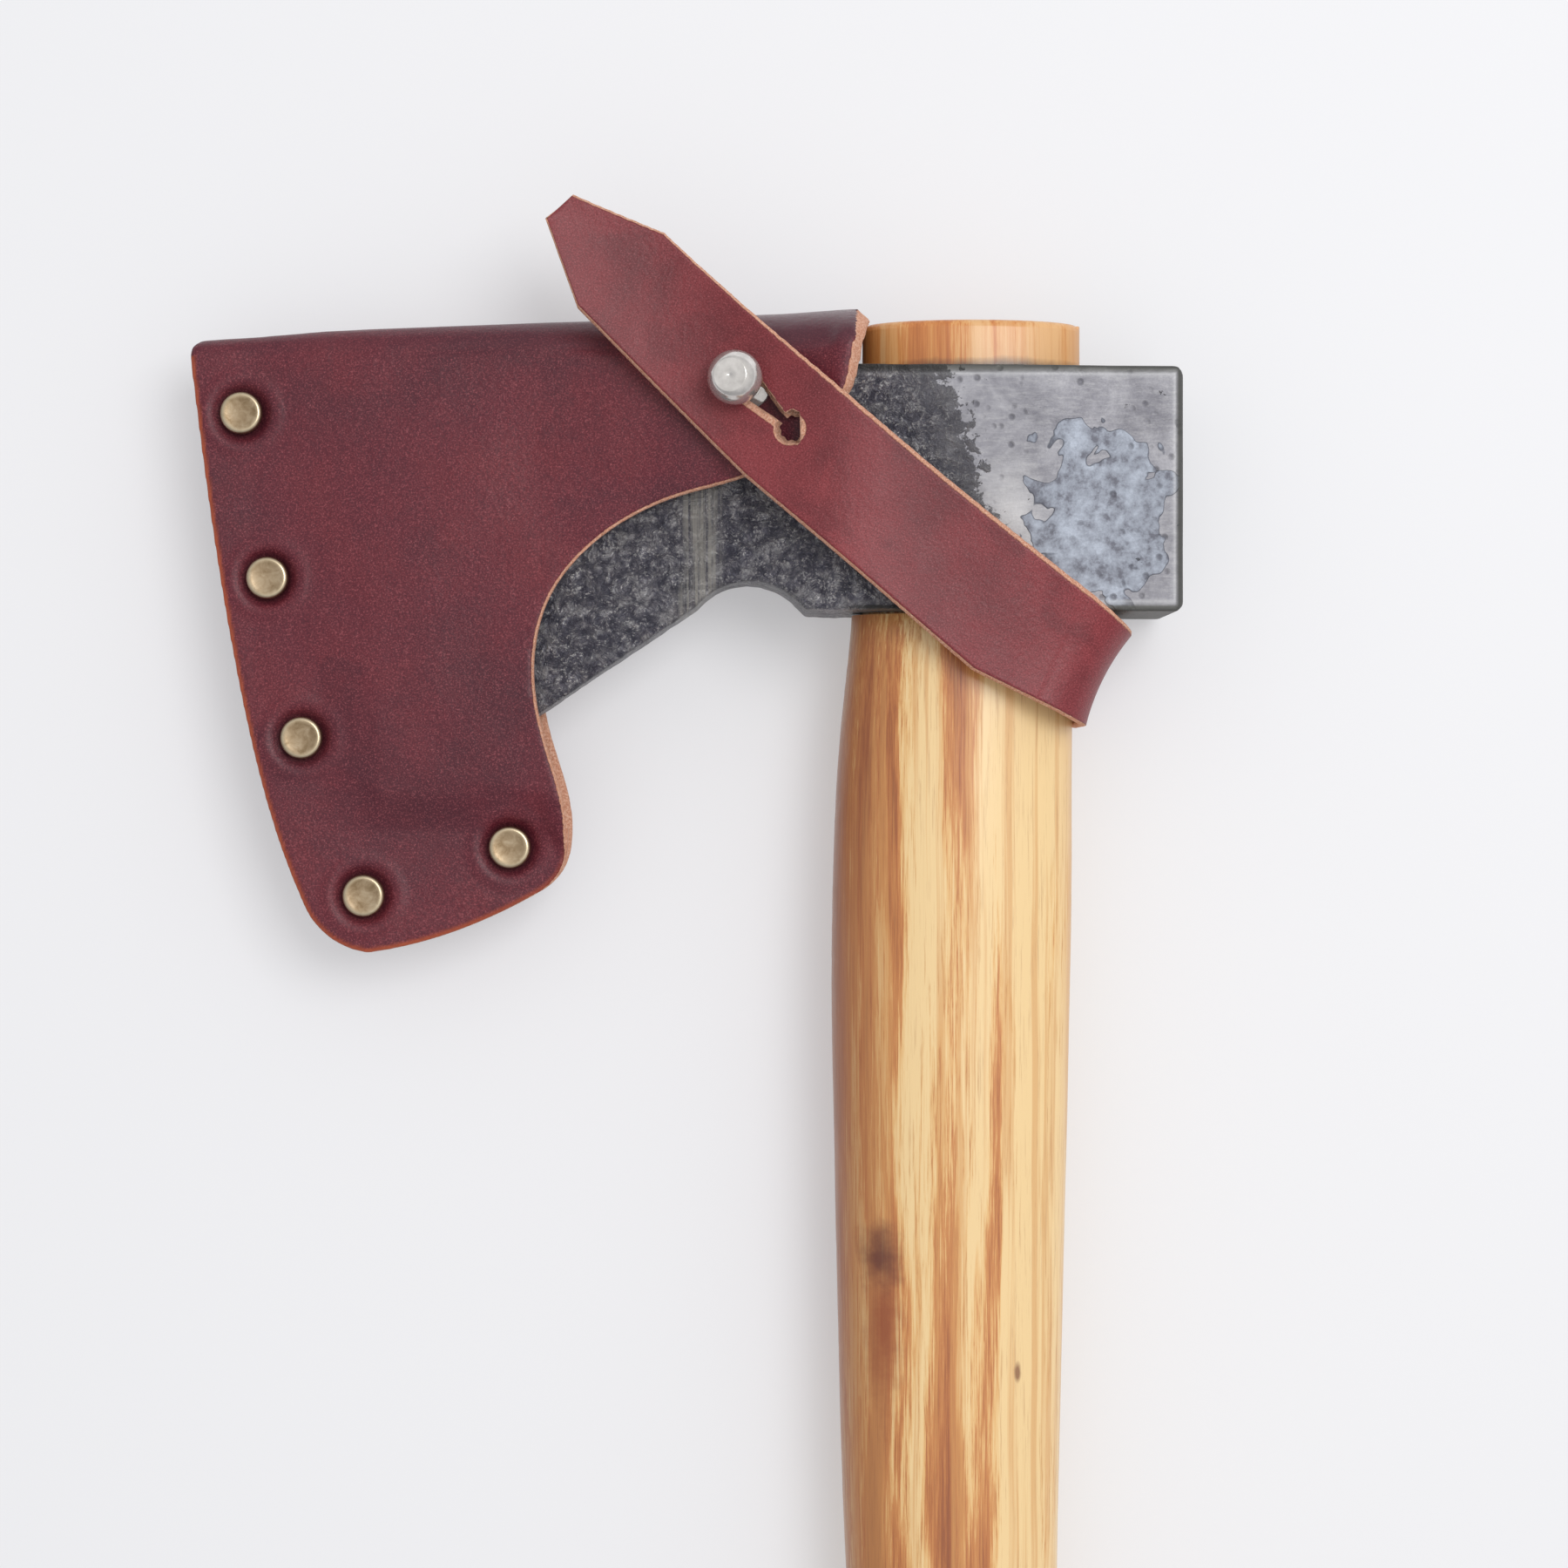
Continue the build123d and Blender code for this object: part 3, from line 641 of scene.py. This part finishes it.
def cut_button_hole(obj, raw_material):
    """Cuts the slit, its round stop and the hole for the stud's neck in the strap."""
    foot = np.array(STUD_FOOT[:2]) + np.array((-0.9, 0))
    stop = np.array(SLIT_STOP)
    run = (stop - foot) / np.linalg.norm(stop - foot)
    side = np.array((-run[1], run[0]))
    slit = [foot + run * way + side * left for way, left, right in SLIT_LIPS]
    slit += [stop + side * SLIT_END, stop - side * SLIT_END]
    slit += [foot + run * way - side * right for way, left, right in reversed(SLIT_LIPS)]
    neck = []
    for a in np.linspace(0, 2 * math.pi, 33)[:-1]:
        neck.append(foot + np.array((math.cos(a), math.sin(a))) * NECK_HOLE)
    ragged = []
    for a in np.linspace(0, 2 * math.pi, 49)[:-1]:
        r = STOP_HOLE + 0.16 * math.sin(9 * a)
        ragged.append(stop + np.array((math.cos(a), math.sin(a))) * r)
    for number, outline in enumerate((slit, neck, ragged)):
        if np.cross(outline[1] - outline[0], outline[2] - outline[1]) < 0:
            outline = outline[::-1]
        cutter = funnel(f"cutter_{number}", outline, 2.0, SLIT_FLOOR, SLIT_CEILING)
        cutter.data.materials.append(raw_material)
        cut = obj.modifiers.new("cut", "BOOLEAN")
        cut.operation = "DIFFERENCE"
        cut.object = cutter
        cut.solver = "EXACT"
        cut.material_mode = "TRANSFER"
        applied(obj)
        bpy.data.objects.remove(cutter)


def raw_leather_material():
    """The tan, fibrous inside of the leather where it is cut."""
    s = Shader("raw_leather")
    color, threads = raw_fibres(s, s.position())
    s.surface(Base_Color=color, Roughness=0.92, Normal=s.bump(threads, 0.9, 0.5))
    return s.material


def make_strap():
    """The strap from its root to its tip, cut where each length starts to turn about the next."""
    rings = []
    length = 0.0
    middle = None
    for station in strap_path():
        points, places, rim_distance = strap_points(station)
        now = np.mean(points, axis=0)
        if middle is not None:
            length += float(np.linalg.norm(now - middle))
        middle = now
        rings.append(Ring(points, places, rim_distance, length, part=station[3]))
    material = leather_material("strap_hide", STRAP_BASE, STRAP_DARK, STRAP_LIGHT, laid_flat="flat")
    raw_material = raw_leather_material()

    def within(part, fraction):
        """Which ring lies that far through a part of the path."""
        indices = [i for i, ring in enumerate(rings) if ring.part == part]
        return indices[int(len(indices) * fraction)]

    halfway = [within(part, 0.5) for part in ("bend_1", "bend_2", "side", "bend_3", "bend_4")]
    cuts = [0] + halfway + [len(rings) - 1]
    for k, node in enumerate(SEGMENT_NODES):
        a, b = cuts[k], cuts[k + 1]
        at_tip = node == "strap_front"
        piece = strap_mesh(f"strap_piece_{k + 1}", rings[a:b + 1], closed=at_tip)
        piece.data.materials.append(material)
        if at_tip:
            cut_button_hole(piece, raw_material)
        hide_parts(node)
        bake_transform(piece)


# ---------------------------------------------------------------- steel head

def steel_material():
    """Black hammered scale with painted glints, a brushed grey poll with a painted glare and a patch of blue
    scale, ground marks, and a painted highlight line and painted shade along the poll's chamfer.
    """
    s = Shader("forged_steel_skin")
    where = s.position()
    mottle = s.noise(where, 0.13, 6, 0.65, 0.5)
    lumps = s.noise(where, 0.46, 6, 0.7, 0.3)
    speckle = s.noise(where, 2.2, 4, 0.75)
    zone = s.plus(s.stored("hammered"), s.times(s.minus(lumps, 0.5), 1.3))
    rough_zone = s.ramp(zone, (0.25, 0.0), (0.9, 1.0))
    ridges = s.math("ABSOLUTE", s.minus(s.noise(where, 0.34, 5, 0.68, 0.9), 0.5))
    black = s.ramp(lumps, (0.36, srgb(104, 104, 120)), (0.5, srgb(152, 150, 160)),
                   (0.62, srgb(208, 206, 210)))
    black = s.mix(s.ramp(mottle, (0.4, 0.45), (0.56, 0.0)), black, srgb(90, 91, 108))
    black = s.mix(s.ramp(ridges, (0.0, 0.6), (0.03, 0.0)), black, srgb(60, 60, 74))
    off_ridges = s.ramp(ridges, (0.05, 0.0), (0.08, 1.0))
    glint = s.times(off_ridges, s.ramp(speckle, (0.5, 0.0), (0.58, 1.0)))
    black = s.mix(s.times(glint, 0.9), black, srgb(244, 242, 242))
    black = s.mix(s.ramp(speckle, (0.32, 0.5), (0.42, 0.0)), black, srgb(62, 62, 76))
    brushed = s.noise(s.position((0.35, 1.6, 1.0)), 1.0, 5, 0.7)
    grey = s.ramp(mottle, (0.3, srgb(110, 109, 116)), (0.5, srgb(134, 133, 139)),
                  (0.7, srgb(156, 155, 160)))
    grey = s.mix(s.ramp(brushed, (0.45, 0.0), (0.7, 0.35)), grey, srgb(176, 175, 176))
    grey = s.mix(s.ramp(speckle, (0.26, 0.45), (0.37, 0.0)), grey, srgb(100, 99, 103))
    glare = s.blob(8.0, -7.0, 9.0, 14.0, 0.9, 0.8)
    grey = s.mix(s.times(glare, 0.4), grey, srgb(214, 212, 210))
    # A coastline of blue scale on the poll, dark along its rim.
    reach = s.length(s.position((1 / 13.0, 1 / 16.5, 0), (-23.4 / 13.0, 6.2 / 16.5, 0)))
    coast = s.noise(s.position(shift=(3.1, 7.7, 0)), 0.2, 2, 0.35, 0.5)
    reach = s.plus(reach, s.times(s.minus(coast, 0.5), 1.7))
    patch = s.ramp(reach, (0.97, 1.0), (1.0, 0.0))
    rim = s.ramp(reach, (0.94, 0.0), (0.985, 1.0))
    rim = s.times(rim, s.ramp(reach, (0.985, 1.0), (1.03, 0.0)))
    cloud = s.noise(where, 0.28, 5, 0.65)
    blue = s.ramp(cloud, (0.38, srgb(98, 99, 108)), (0.48, srgb(130, 134, 144)),
                  (0.66, srgb(156, 162, 173)))
    grey = s.mix(patch, grey, blue)
    grey = s.mix(s.times(rim, 0.75), grey, srgb(62, 64, 74))
    pit_cells = s.cells(where, 0.36)
    pit_pick = s.ramp(s.noise(where, 0.11, 3), (0.46, 0.0), (0.56, 1.0))
    pits = s.times(s.ramp(pit_cells, (0.12, 1.0), (0.27, 0.0)), pit_pick)
    grey = s.mix(s.times(pits, 0.65), grey, srgb(80, 79, 88))
    color = s.mix(rough_zone, grey, black)
    streaks = s.noise(s.position((1.5, 0.03, 0.4)), 1.0, 4, 0.7)
    ground = s.times(s.stored("ground"), s.ramp(streaks, (0.42, 0.15), (0.54, 1.0)))
    color = s.mix(s.times(ground, 0.9), color, srgb(224, 221, 214))
    # A painted highlight line just inside the poll's outline, then painted shade on its chamfer and sloping
    # sides.
    color = s.mix(s.stored("wear_and_highlight"), color, srgb(196, 196, 196))
    color = s.mix(s.times(s.stored("chamfer_shade"), 0.85), color, srgb(84, 84, 79))
    color = s.mix(s.times(s.stored("bevel"), 0.6), color, srgb(120, 120, 122))
    hammering = s.plus(lumps, s.times(ridges, 3.0))
    normal = s.bump(s.times(hammering, rough_zone), 1.0, 2.4)
    fine = s.plus(s.times(brushed, 0.5), s.times(speckle, 0.5))
    normal = s.bump(fine, 0.35, 0.12, normal)
    normal = s.bump(s.minus(s.times(patch, 0.4), pits), 0.5, 0.25, normal)
    poll_rough = s.ramp(speckle, (0.3, 0.5), (0.75, 0.62))
    scale_rough = s.ramp(speckle, (0.3, 0.28), (0.75, 0.4))
    rough = s.mix(rough_zone, poll_rough, scale_rough)
    metallic = s.ramp(rough_zone, (0.0, 0.7), (1.0, 0.5))
    s.surface(Base_Color=color, Roughness=rough, Metallic=metallic, Normal=normal)
    return s.material


EYE_X = 1.3                      # middle of the eye's hole
EYE_LONG = 22.0                  # a little over half its length and half its width
EYE_WIDE = 11.4
GROUND_X = -49.8                 # middle of the band beside the sheath that is ground bright
HIGHLIGHT_LINE = 1.75                 # how far in from the poll's outline its painted highlight line runs


def make_head():
    """The forged head: a rough black skin round the eye and down the beard, and a smoother poll."""
    obj = remeshed("head_skin", "axe_head", voxel=0.5, smoothing=3)
    mesh = obj.data
    co = to_mm(coordinates(mesh))
    nor = normals(mesh)
    x, y, z = co.T.copy()
    edge_of_skin = x + 5.0 * rough_noise(co, 9.0, 8) + 0.3 * (y - 10)
    hammered = 1 - step(-14.0, 5.0, edge_of_skin)
    ground = np.exp(-((x - GROUND_X + 1.5 * rough_noise(co, 9.0, 9)) / 3.4) ** 4)
    lumps = rough_noise(co, 5.5, 5) * 0.22 + rough_noise(co, 2.0, 6) * 0.36 + rough_noise(co, 1.1, 7) * 0.14
    soft = rough_noise(co, 14.0, 4) * 0.12
    relief = (lumps - 0.1) * hammered * (1 - 0.7 * ground) + soft - 0.05
    # No relief on the cutting edge or in the eye, and little on the walls that make the outline.
    blade = step(-122.0, -108.0, x)
    inside_eye = (np.abs(x - EYE_X) < EYE_LONG) & (np.abs(z) < EYE_WIDE)
    inside_eye &= (y > HEAD_BOTTOM + 0.3) & (y < HEAD_TOP - 0.3)
    tilt = 1 - step(0.7, 0.96, np.abs(nor[:, 2]))
    co += nor * (relief * blade * (1 - 0.65 * tilt) * ~inside_eye)[:, None]
    set_coordinates(mesh, to_frame(co))
    set_values(mesh, "hammered", hammered)
    set_values(mesh, "ground", ground)
    poll_side = step(-26.0, -18.0, x)
    to_side = np.minimum(POLL_X - x, np.minimum(HEAD_TOP - y, y - HEAD_BOTTOM))
    # Painted shade on the poll's chamfer and sloping faces, and a painted highlight line just inside its
    # outline on the upper face.
    set_values(mesh, "chamfer_shade", np.maximum(tilt, 1 - step(1.0, 1.5, to_side)) * poll_side)
    set_values(mesh, "wear_and_highlight", 0.35 * np.exp(-((to_side - HIGHLIGHT_LINE) / 0.35) ** 2) * poll_side * (z > 0))
    set_values(mesh, "bevel", tilt * (1 - step(-30.0, -24.0, x)))
    mesh.materials.append(steel_material())
    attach(obj, "hatchet")
    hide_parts("axe_head")


# ---------------------------------------------------------------- wood

def ash_material():
    """Oiled ash: long straight growth lines, feathered streaks of brown heartwood, and a dark knot."""
    s = Shader("oiled_ash")
    x = s.coordinate("X")
    y = s.coordinate("Y")
    sway = s.noise(s.position((0.03, 0.011, 0.03)), 1.0, 2)
    lean = s.node("CombineXYZ", {"X": s.times(sway, 1.9)}).outputs[0]
    fine = s.noise(s.position((2.6, 0.06, 2.6)), 1.0, 4, 0.7)
    broad = s.noise(s.moved(s.position((0.13, 0.0062, 0.1)), lean), 1.0, 3, 0.5, 0.3)
    value = s.plus(broad, s.times(s.minus(fine, 0.5), 0.42))
    value = s.plus(value, s.between(x, 0.0, 12.0, 0.05, -0.19))
    color = s.ramp(value, (0.42, srgb(236, 204, 150)), (0.49, srgb(226, 180, 118)),
                   (0.53, srgb(204, 138, 80)), (0.6, srgb(182, 112, 62)), (0.7, srgb(146, 80, 46)))
    lines = s.noise(s.moved(s.position((0.55, 0.004, 0.4)), lean), 1.0, 3, 0.6)
    color = s.mix(s.ramp(lines, (0.5, 0.0), (0.6, 0.55)), color, srgb(208, 150, 88))
    color = s.mix(s.ramp(fine, (0.54, 0.0), (0.7, 0.4)), color, srgb(158, 98, 58))
    # Painted shade along the left side, where the handle turns away from the light, and a painted paler band
    # along the right one, where it turns towards it.
    color = s.mix(s.between(x, -25.0, -13.0, 0.85, 0.0), color, srgb(150, 94, 62))
    color = s.mix(s.between(x, 17.0, 20.5, 0.0, 0.5), color, srgb(214, 160, 96))
    tail = s.blob(-15.4, -156.0, 4.2, 20.0, 0.9, 0.9)
    color = s.mix(s.times(tail, 0.85), color, srgb(144, 72, 40))
    knot = s.blob(-16.0, -143.0, 5.0, 8.0, 0.9, 0.9)
    color = s.mix(s.times(knot, 0.85), color, srgb(92, 44, 36))
    spot = s.blob(9.4, -165.0, 0.8, 2.4, 0.6, 0.8)
    color = s.mix(s.times(spot, 0.8), color, srgb(120, 66, 42))
    # The stub above the eye is more orange, and darker where it leaves the steel.
    color = s.mix(s.between(y, 20.0, 23.0, 0.0, 0.45), color, srgb(206, 126, 62))
    dark_at_steel = s.blob(6, 22.0, 30, 2.4, 0.7, 0.9)
    color = s.mix(s.times(dark_at_steel, 0.85), color, srgb(48, 38, 36))
    normal = s.bump(s.plus(lines, fine), 0.16, 0.25)
    rough = s.ramp(fine, (0.3, 0.3), (0.7, 0.42))
    s.surface(Base_Color=color, Roughness=rough, Normal=normal, Coat_Weight=0.25, Coat_Roughness=0.18)
    return s.material


# ---------------------------------------------------------------- metal fittings

def brass_material():
    """Antique brass, paler on the rims from wear and a painted highlight."""
    s = Shader("antique_brass_skin")
    wear = s.noise(s.position(), 0.5, 5, 0.6, 0.5)
    scratch = s.noise(s.position((3.0, 0.8, 1.0)), 1.0, 4, 0.7)
    color = s.ramp(wear, (0.35, srgb(136, 115, 88)), (0.52, srgb(162, 141, 114)),
                   (0.72, srgb(186, 167, 140)))
    # Wear and a painted highlight make the rims paler.
    color = s.mix(s.times(s.stored("wear_and_highlight"), 0.6), color, srgb(232, 218, 188))
    rough = s.ramp(wear, (0.3, 0.4), (0.75, 0.26))
    s.surface(Base_Color=color, Roughness=rough, Metallic=1.0, Normal=s.bump(scratch, 0.06, 0.08))
    return s.material


def nickel_material():
    """Polished nickel with fine scratches."""
    s = Shader("nickel_skin")
    scratch = s.noise(s.position((2.5, 0.6, 1.0)), 1.0, 5, 0.75, 1.2)
    wear = s.noise(s.position(), 0.5, 5, 0.6)
    color = s.ramp(wear, (0.3, srgb(196, 192, 188)), (0.7, srgb(226, 222, 218)))
    rough = s.ramp(scratch, (0.35, 0.1), (0.75, 0.24))
    s.surface(Base_Color=color, Roughness=rough, Metallic=0.72, Normal=s.bump(scratch, 0.04, 0.06))
    return s.material


def turned(name, profile, foot, axis, material, turns=96):
    """A lathe-turned piece: (radius, height, wear and painted highlight) points swept about an axis through
    its foot.
    """
    axis = Vector(axis).normalized()
    side = axis.orthogonal().normalized()
    other = axis.cross(side)
    verts = []
    wear = []
    for radius, height, wear_and_highlight in profile:
        for i in range(turns):
            a = 2 * math.pi * i / turns
            verts.append(Vector(foot) + axis * height + (side * math.cos(a) + other * math.sin(a)) * radius)
            wear.append(wear_and_highlight)
    faces = []
    for ring in range(len(profile) - 1):
        below = ring * turns
        above = below + turns
        for i in range(turns):
            j = (i + 1) % turns
            faces.append((below + i, below + j, above + j, above + i))
    faces.append(tuple(reversed(range(turns))))
    faces.append(tuple((len(profile) - 1) * turns + i for i in range(turns)))
    obj = mesh_object(name, to_frame(np.array([tuple(v) for v in verts])), faces)
    set_values(obj.data, "wear_and_highlight", np.array(wear))
    obj.data.materials.append(material)
    return obj


# Radius, height above the foot, and how bright wear and a painted highlight leave it.
CAP_PROFILE = [(3.9, 0.0, 0.0), (4.0, 0.5, 0.0), (3.98, 0.95, 0.0), (3.88, 1.3, 0.2), (3.68, 1.58, 0.6),
               (3.42, 1.72, 0.8), (3.15, 1.74, 0.3), (2.8, 1.68, 0.0), (2.2, 1.6, 0.0), (1.4, 1.54, 0.0),
               (0.7, 1.51, 0.0), (0.1, 1.5, 0.0)]
CAP_HEIGHT = 1.74


def make_rivets(brass):
    """Ten dished caps: five on the front, and the posts' five on the back."""
    for node, up, tall in (("rivet_cap", 1.0, 1.8), ("rivet_post", -1.0, 1.2)):
        for number, (x, y) in enumerate(RIVETS, 1):
            low, high = (to_mm(np.array(corner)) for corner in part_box(f"{node}_{number}"))
            top = high[2] if up > 0 else low[2]
            profile = [(r, h * tall / CAP_HEIGHT, wear_and_highlight) for r, h, wear_and_highlight in CAP_PROFILE]
            cap = turned(f"{node}_skin_{number}", profile, (x, y, top - up * tall), (0, 0, up), brass)
            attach(cap, "sheath")
            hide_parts(f"{node}_{number}")


# (radius, height) points: the flange and the neck, and the flat top with the lathe's mark at its centre.
STUD_BASE = [(5.0, 0.05), (5.0, 0.8), (4.8, 1.0), (3.2, 1.1), (2.5, 1.4), (2.3, 2.0), (2.3, 4.6)]
STUD_TOP = [(3.1, 13.18), (3.02, 13.22), (2.94, 13.22), (1.5, 13.2), (0.3, 13.2), (0.22, 13.14),
            (0.05, 13.1)]
BALL = 5.0                       # radius
BALL_HEIGHT = 9.3                # of its centre, above the foot


def make_stud(nickel):
    """The ball stud: flange, neck, and a ball with a turned flat top."""
    angles = [math.radians(degrees) for degrees in range(-62, 50, 4)]
    ball = [(BALL * math.cos(a), BALL_HEIGHT + BALL * math.sin(a)) for a in angles]
    profile = [(radius, height, 0) for radius, height in STUD_BASE + ball + STUD_TOP]
    tilt = (-math.sin(STUD_TILT), 0, math.cos(STUD_TILT))
    stud = turned("stud_skin", profile, STUD_FOOT, tilt, nickel)
    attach(stud, "sheath")
    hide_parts("ball_stud")


def dress(node, material):
    """Gives a CAD node its material."""
    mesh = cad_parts[node].data
    mesh.materials.clear()
    mesh.materials.append(material)


def welt_material():
    """The welt's stacked edge: pale leather with a burnished, darker face."""
    s = Shader("welt_hide")
    color, threads = raw_fibres(s, s.position((1.0, 1.0, 3.0)))
    color = s.mix(s.ramp(s.noise(s.position(), 0.3, 4), (0.4, 0.0), (0.7, 0.5)), color, srgb(150, 90, 62))
    s.surface(Base_Color=color, Roughness=0.85, Normal=s.bump(threads, 0.6, 0.4))
    return s.material


# ---------------------------------------------------------------- build

make_sheath()
make_strap()
make_head()
ash = ash_material()
brass = brass_material()
nickel = nickel_material()
dress("handle", ash)
dress("handle_wedge", ash)
dress("sheath_welt", welt_material())
dress("stud_screw", nickel)
make_rivets(brass)
make_stud(nickel)


# ---------------------------------------------------------------- studio

def floor_material():
    """A pale matt table that glows faintly, which keeps its shadows pale."""
    s = Shader("pale_table")
    s.surface(Base_Color=(0.53, 0.53, 0.545, 1.0), Roughness=0.75, Emission_Color=(1.0, 1.0, 1.02, 1.0),
              Emission_Strength=0.31)
    return s.material


TABLE_HALF = 3.0                 # metres
LAMP_FROM = Vector((0.36, 0.26, 0.98))   # metres, from the spot that the lamp lights
BRIGHTEST = Vector((0.26, 0.2, 0.94))    # the direction of the room's brightest light


def make_studio():
    """A pale table under a bright room, with soft daylight from the upper right."""
    corners = [(-1, -1), (1, -1), (1, 1), (-1, 1)]
    floor = mesh_object("table_top", [(x * TABLE_HALF, y * TABLE_HALF, 0) for x, y in corners],
                        [(0, 1, 2, 3)], smooth=False)
    floor.data.materials.append(floor_material())
    light = bpy.data.lights.new("key_light", "AREA")
    light.energy = 4.6
    light.size = 0.5
    lamp = bpy.data.objects.new("key_light", light)
    aim = place(-34, -45, 0)
    lamp.location = aim + LAMP_FROM
    lamp.rotation_euler = (aim - lamp.location).to_track_quat("-Z", "Y").to_euler()
    bpy.context.collection.objects.link(lamp)
    world = bpy.context.scene.world or bpy.data.worlds.new("studio")
    bpy.context.scene.world = world
    world.use_nodes = True
    tree = world.node_tree
    sky = tree.nodes["Background"]
    direction = tree.nodes.new("ShaderNodeTexCoord").outputs["Generated"]
    facing = tree.nodes.new("ShaderNodeVectorMath")
    facing.operation = "DOT_PRODUCT"
    tree.links.new(direction, facing.inputs[0])
    facing.inputs[1].default_value = BRIGHTEST.normalized()
    ramp = tree.nodes.new("ShaderNodeValToRGB")
    tree.links.new(facing.outputs["Value"], ramp.inputs["Fac"])
    low, high = ramp.color_ramp.elements
    low.position, low.color = 0.05, (0.66, 0.67, 0.7, 1)
    high.position, high.color = 0.93, (1.56, 1.56, 1.55, 1)
    tree.links.new(ramp.outputs["Color"], sky.inputs["Color"])
    sky.inputs["Strength"].default_value = 0.59
    bpy.context.scene.view_settings.view_transform = "Standard"


def make_camera():
    """Looks straight down at the head and the sheath."""
    height = 0.62                # metres above the table
    field = 0.297                # width seen at the head's middle height
    camera = bpy.data.cameras.new("camera")
    camera.sensor_width = 36
    camera.lens = camera.sensor_width * (height - eye.z) / field
    obj = bpy.data.objects.new("camera", camera)
    spot = place(-34.1, -55.4, 0)
    obj.location = (spot.x, spot.y, height)
    bpy.context.collection.objects.link(obj)
    bpy.context.scene.camera = obj


make_studio()
make_camera()
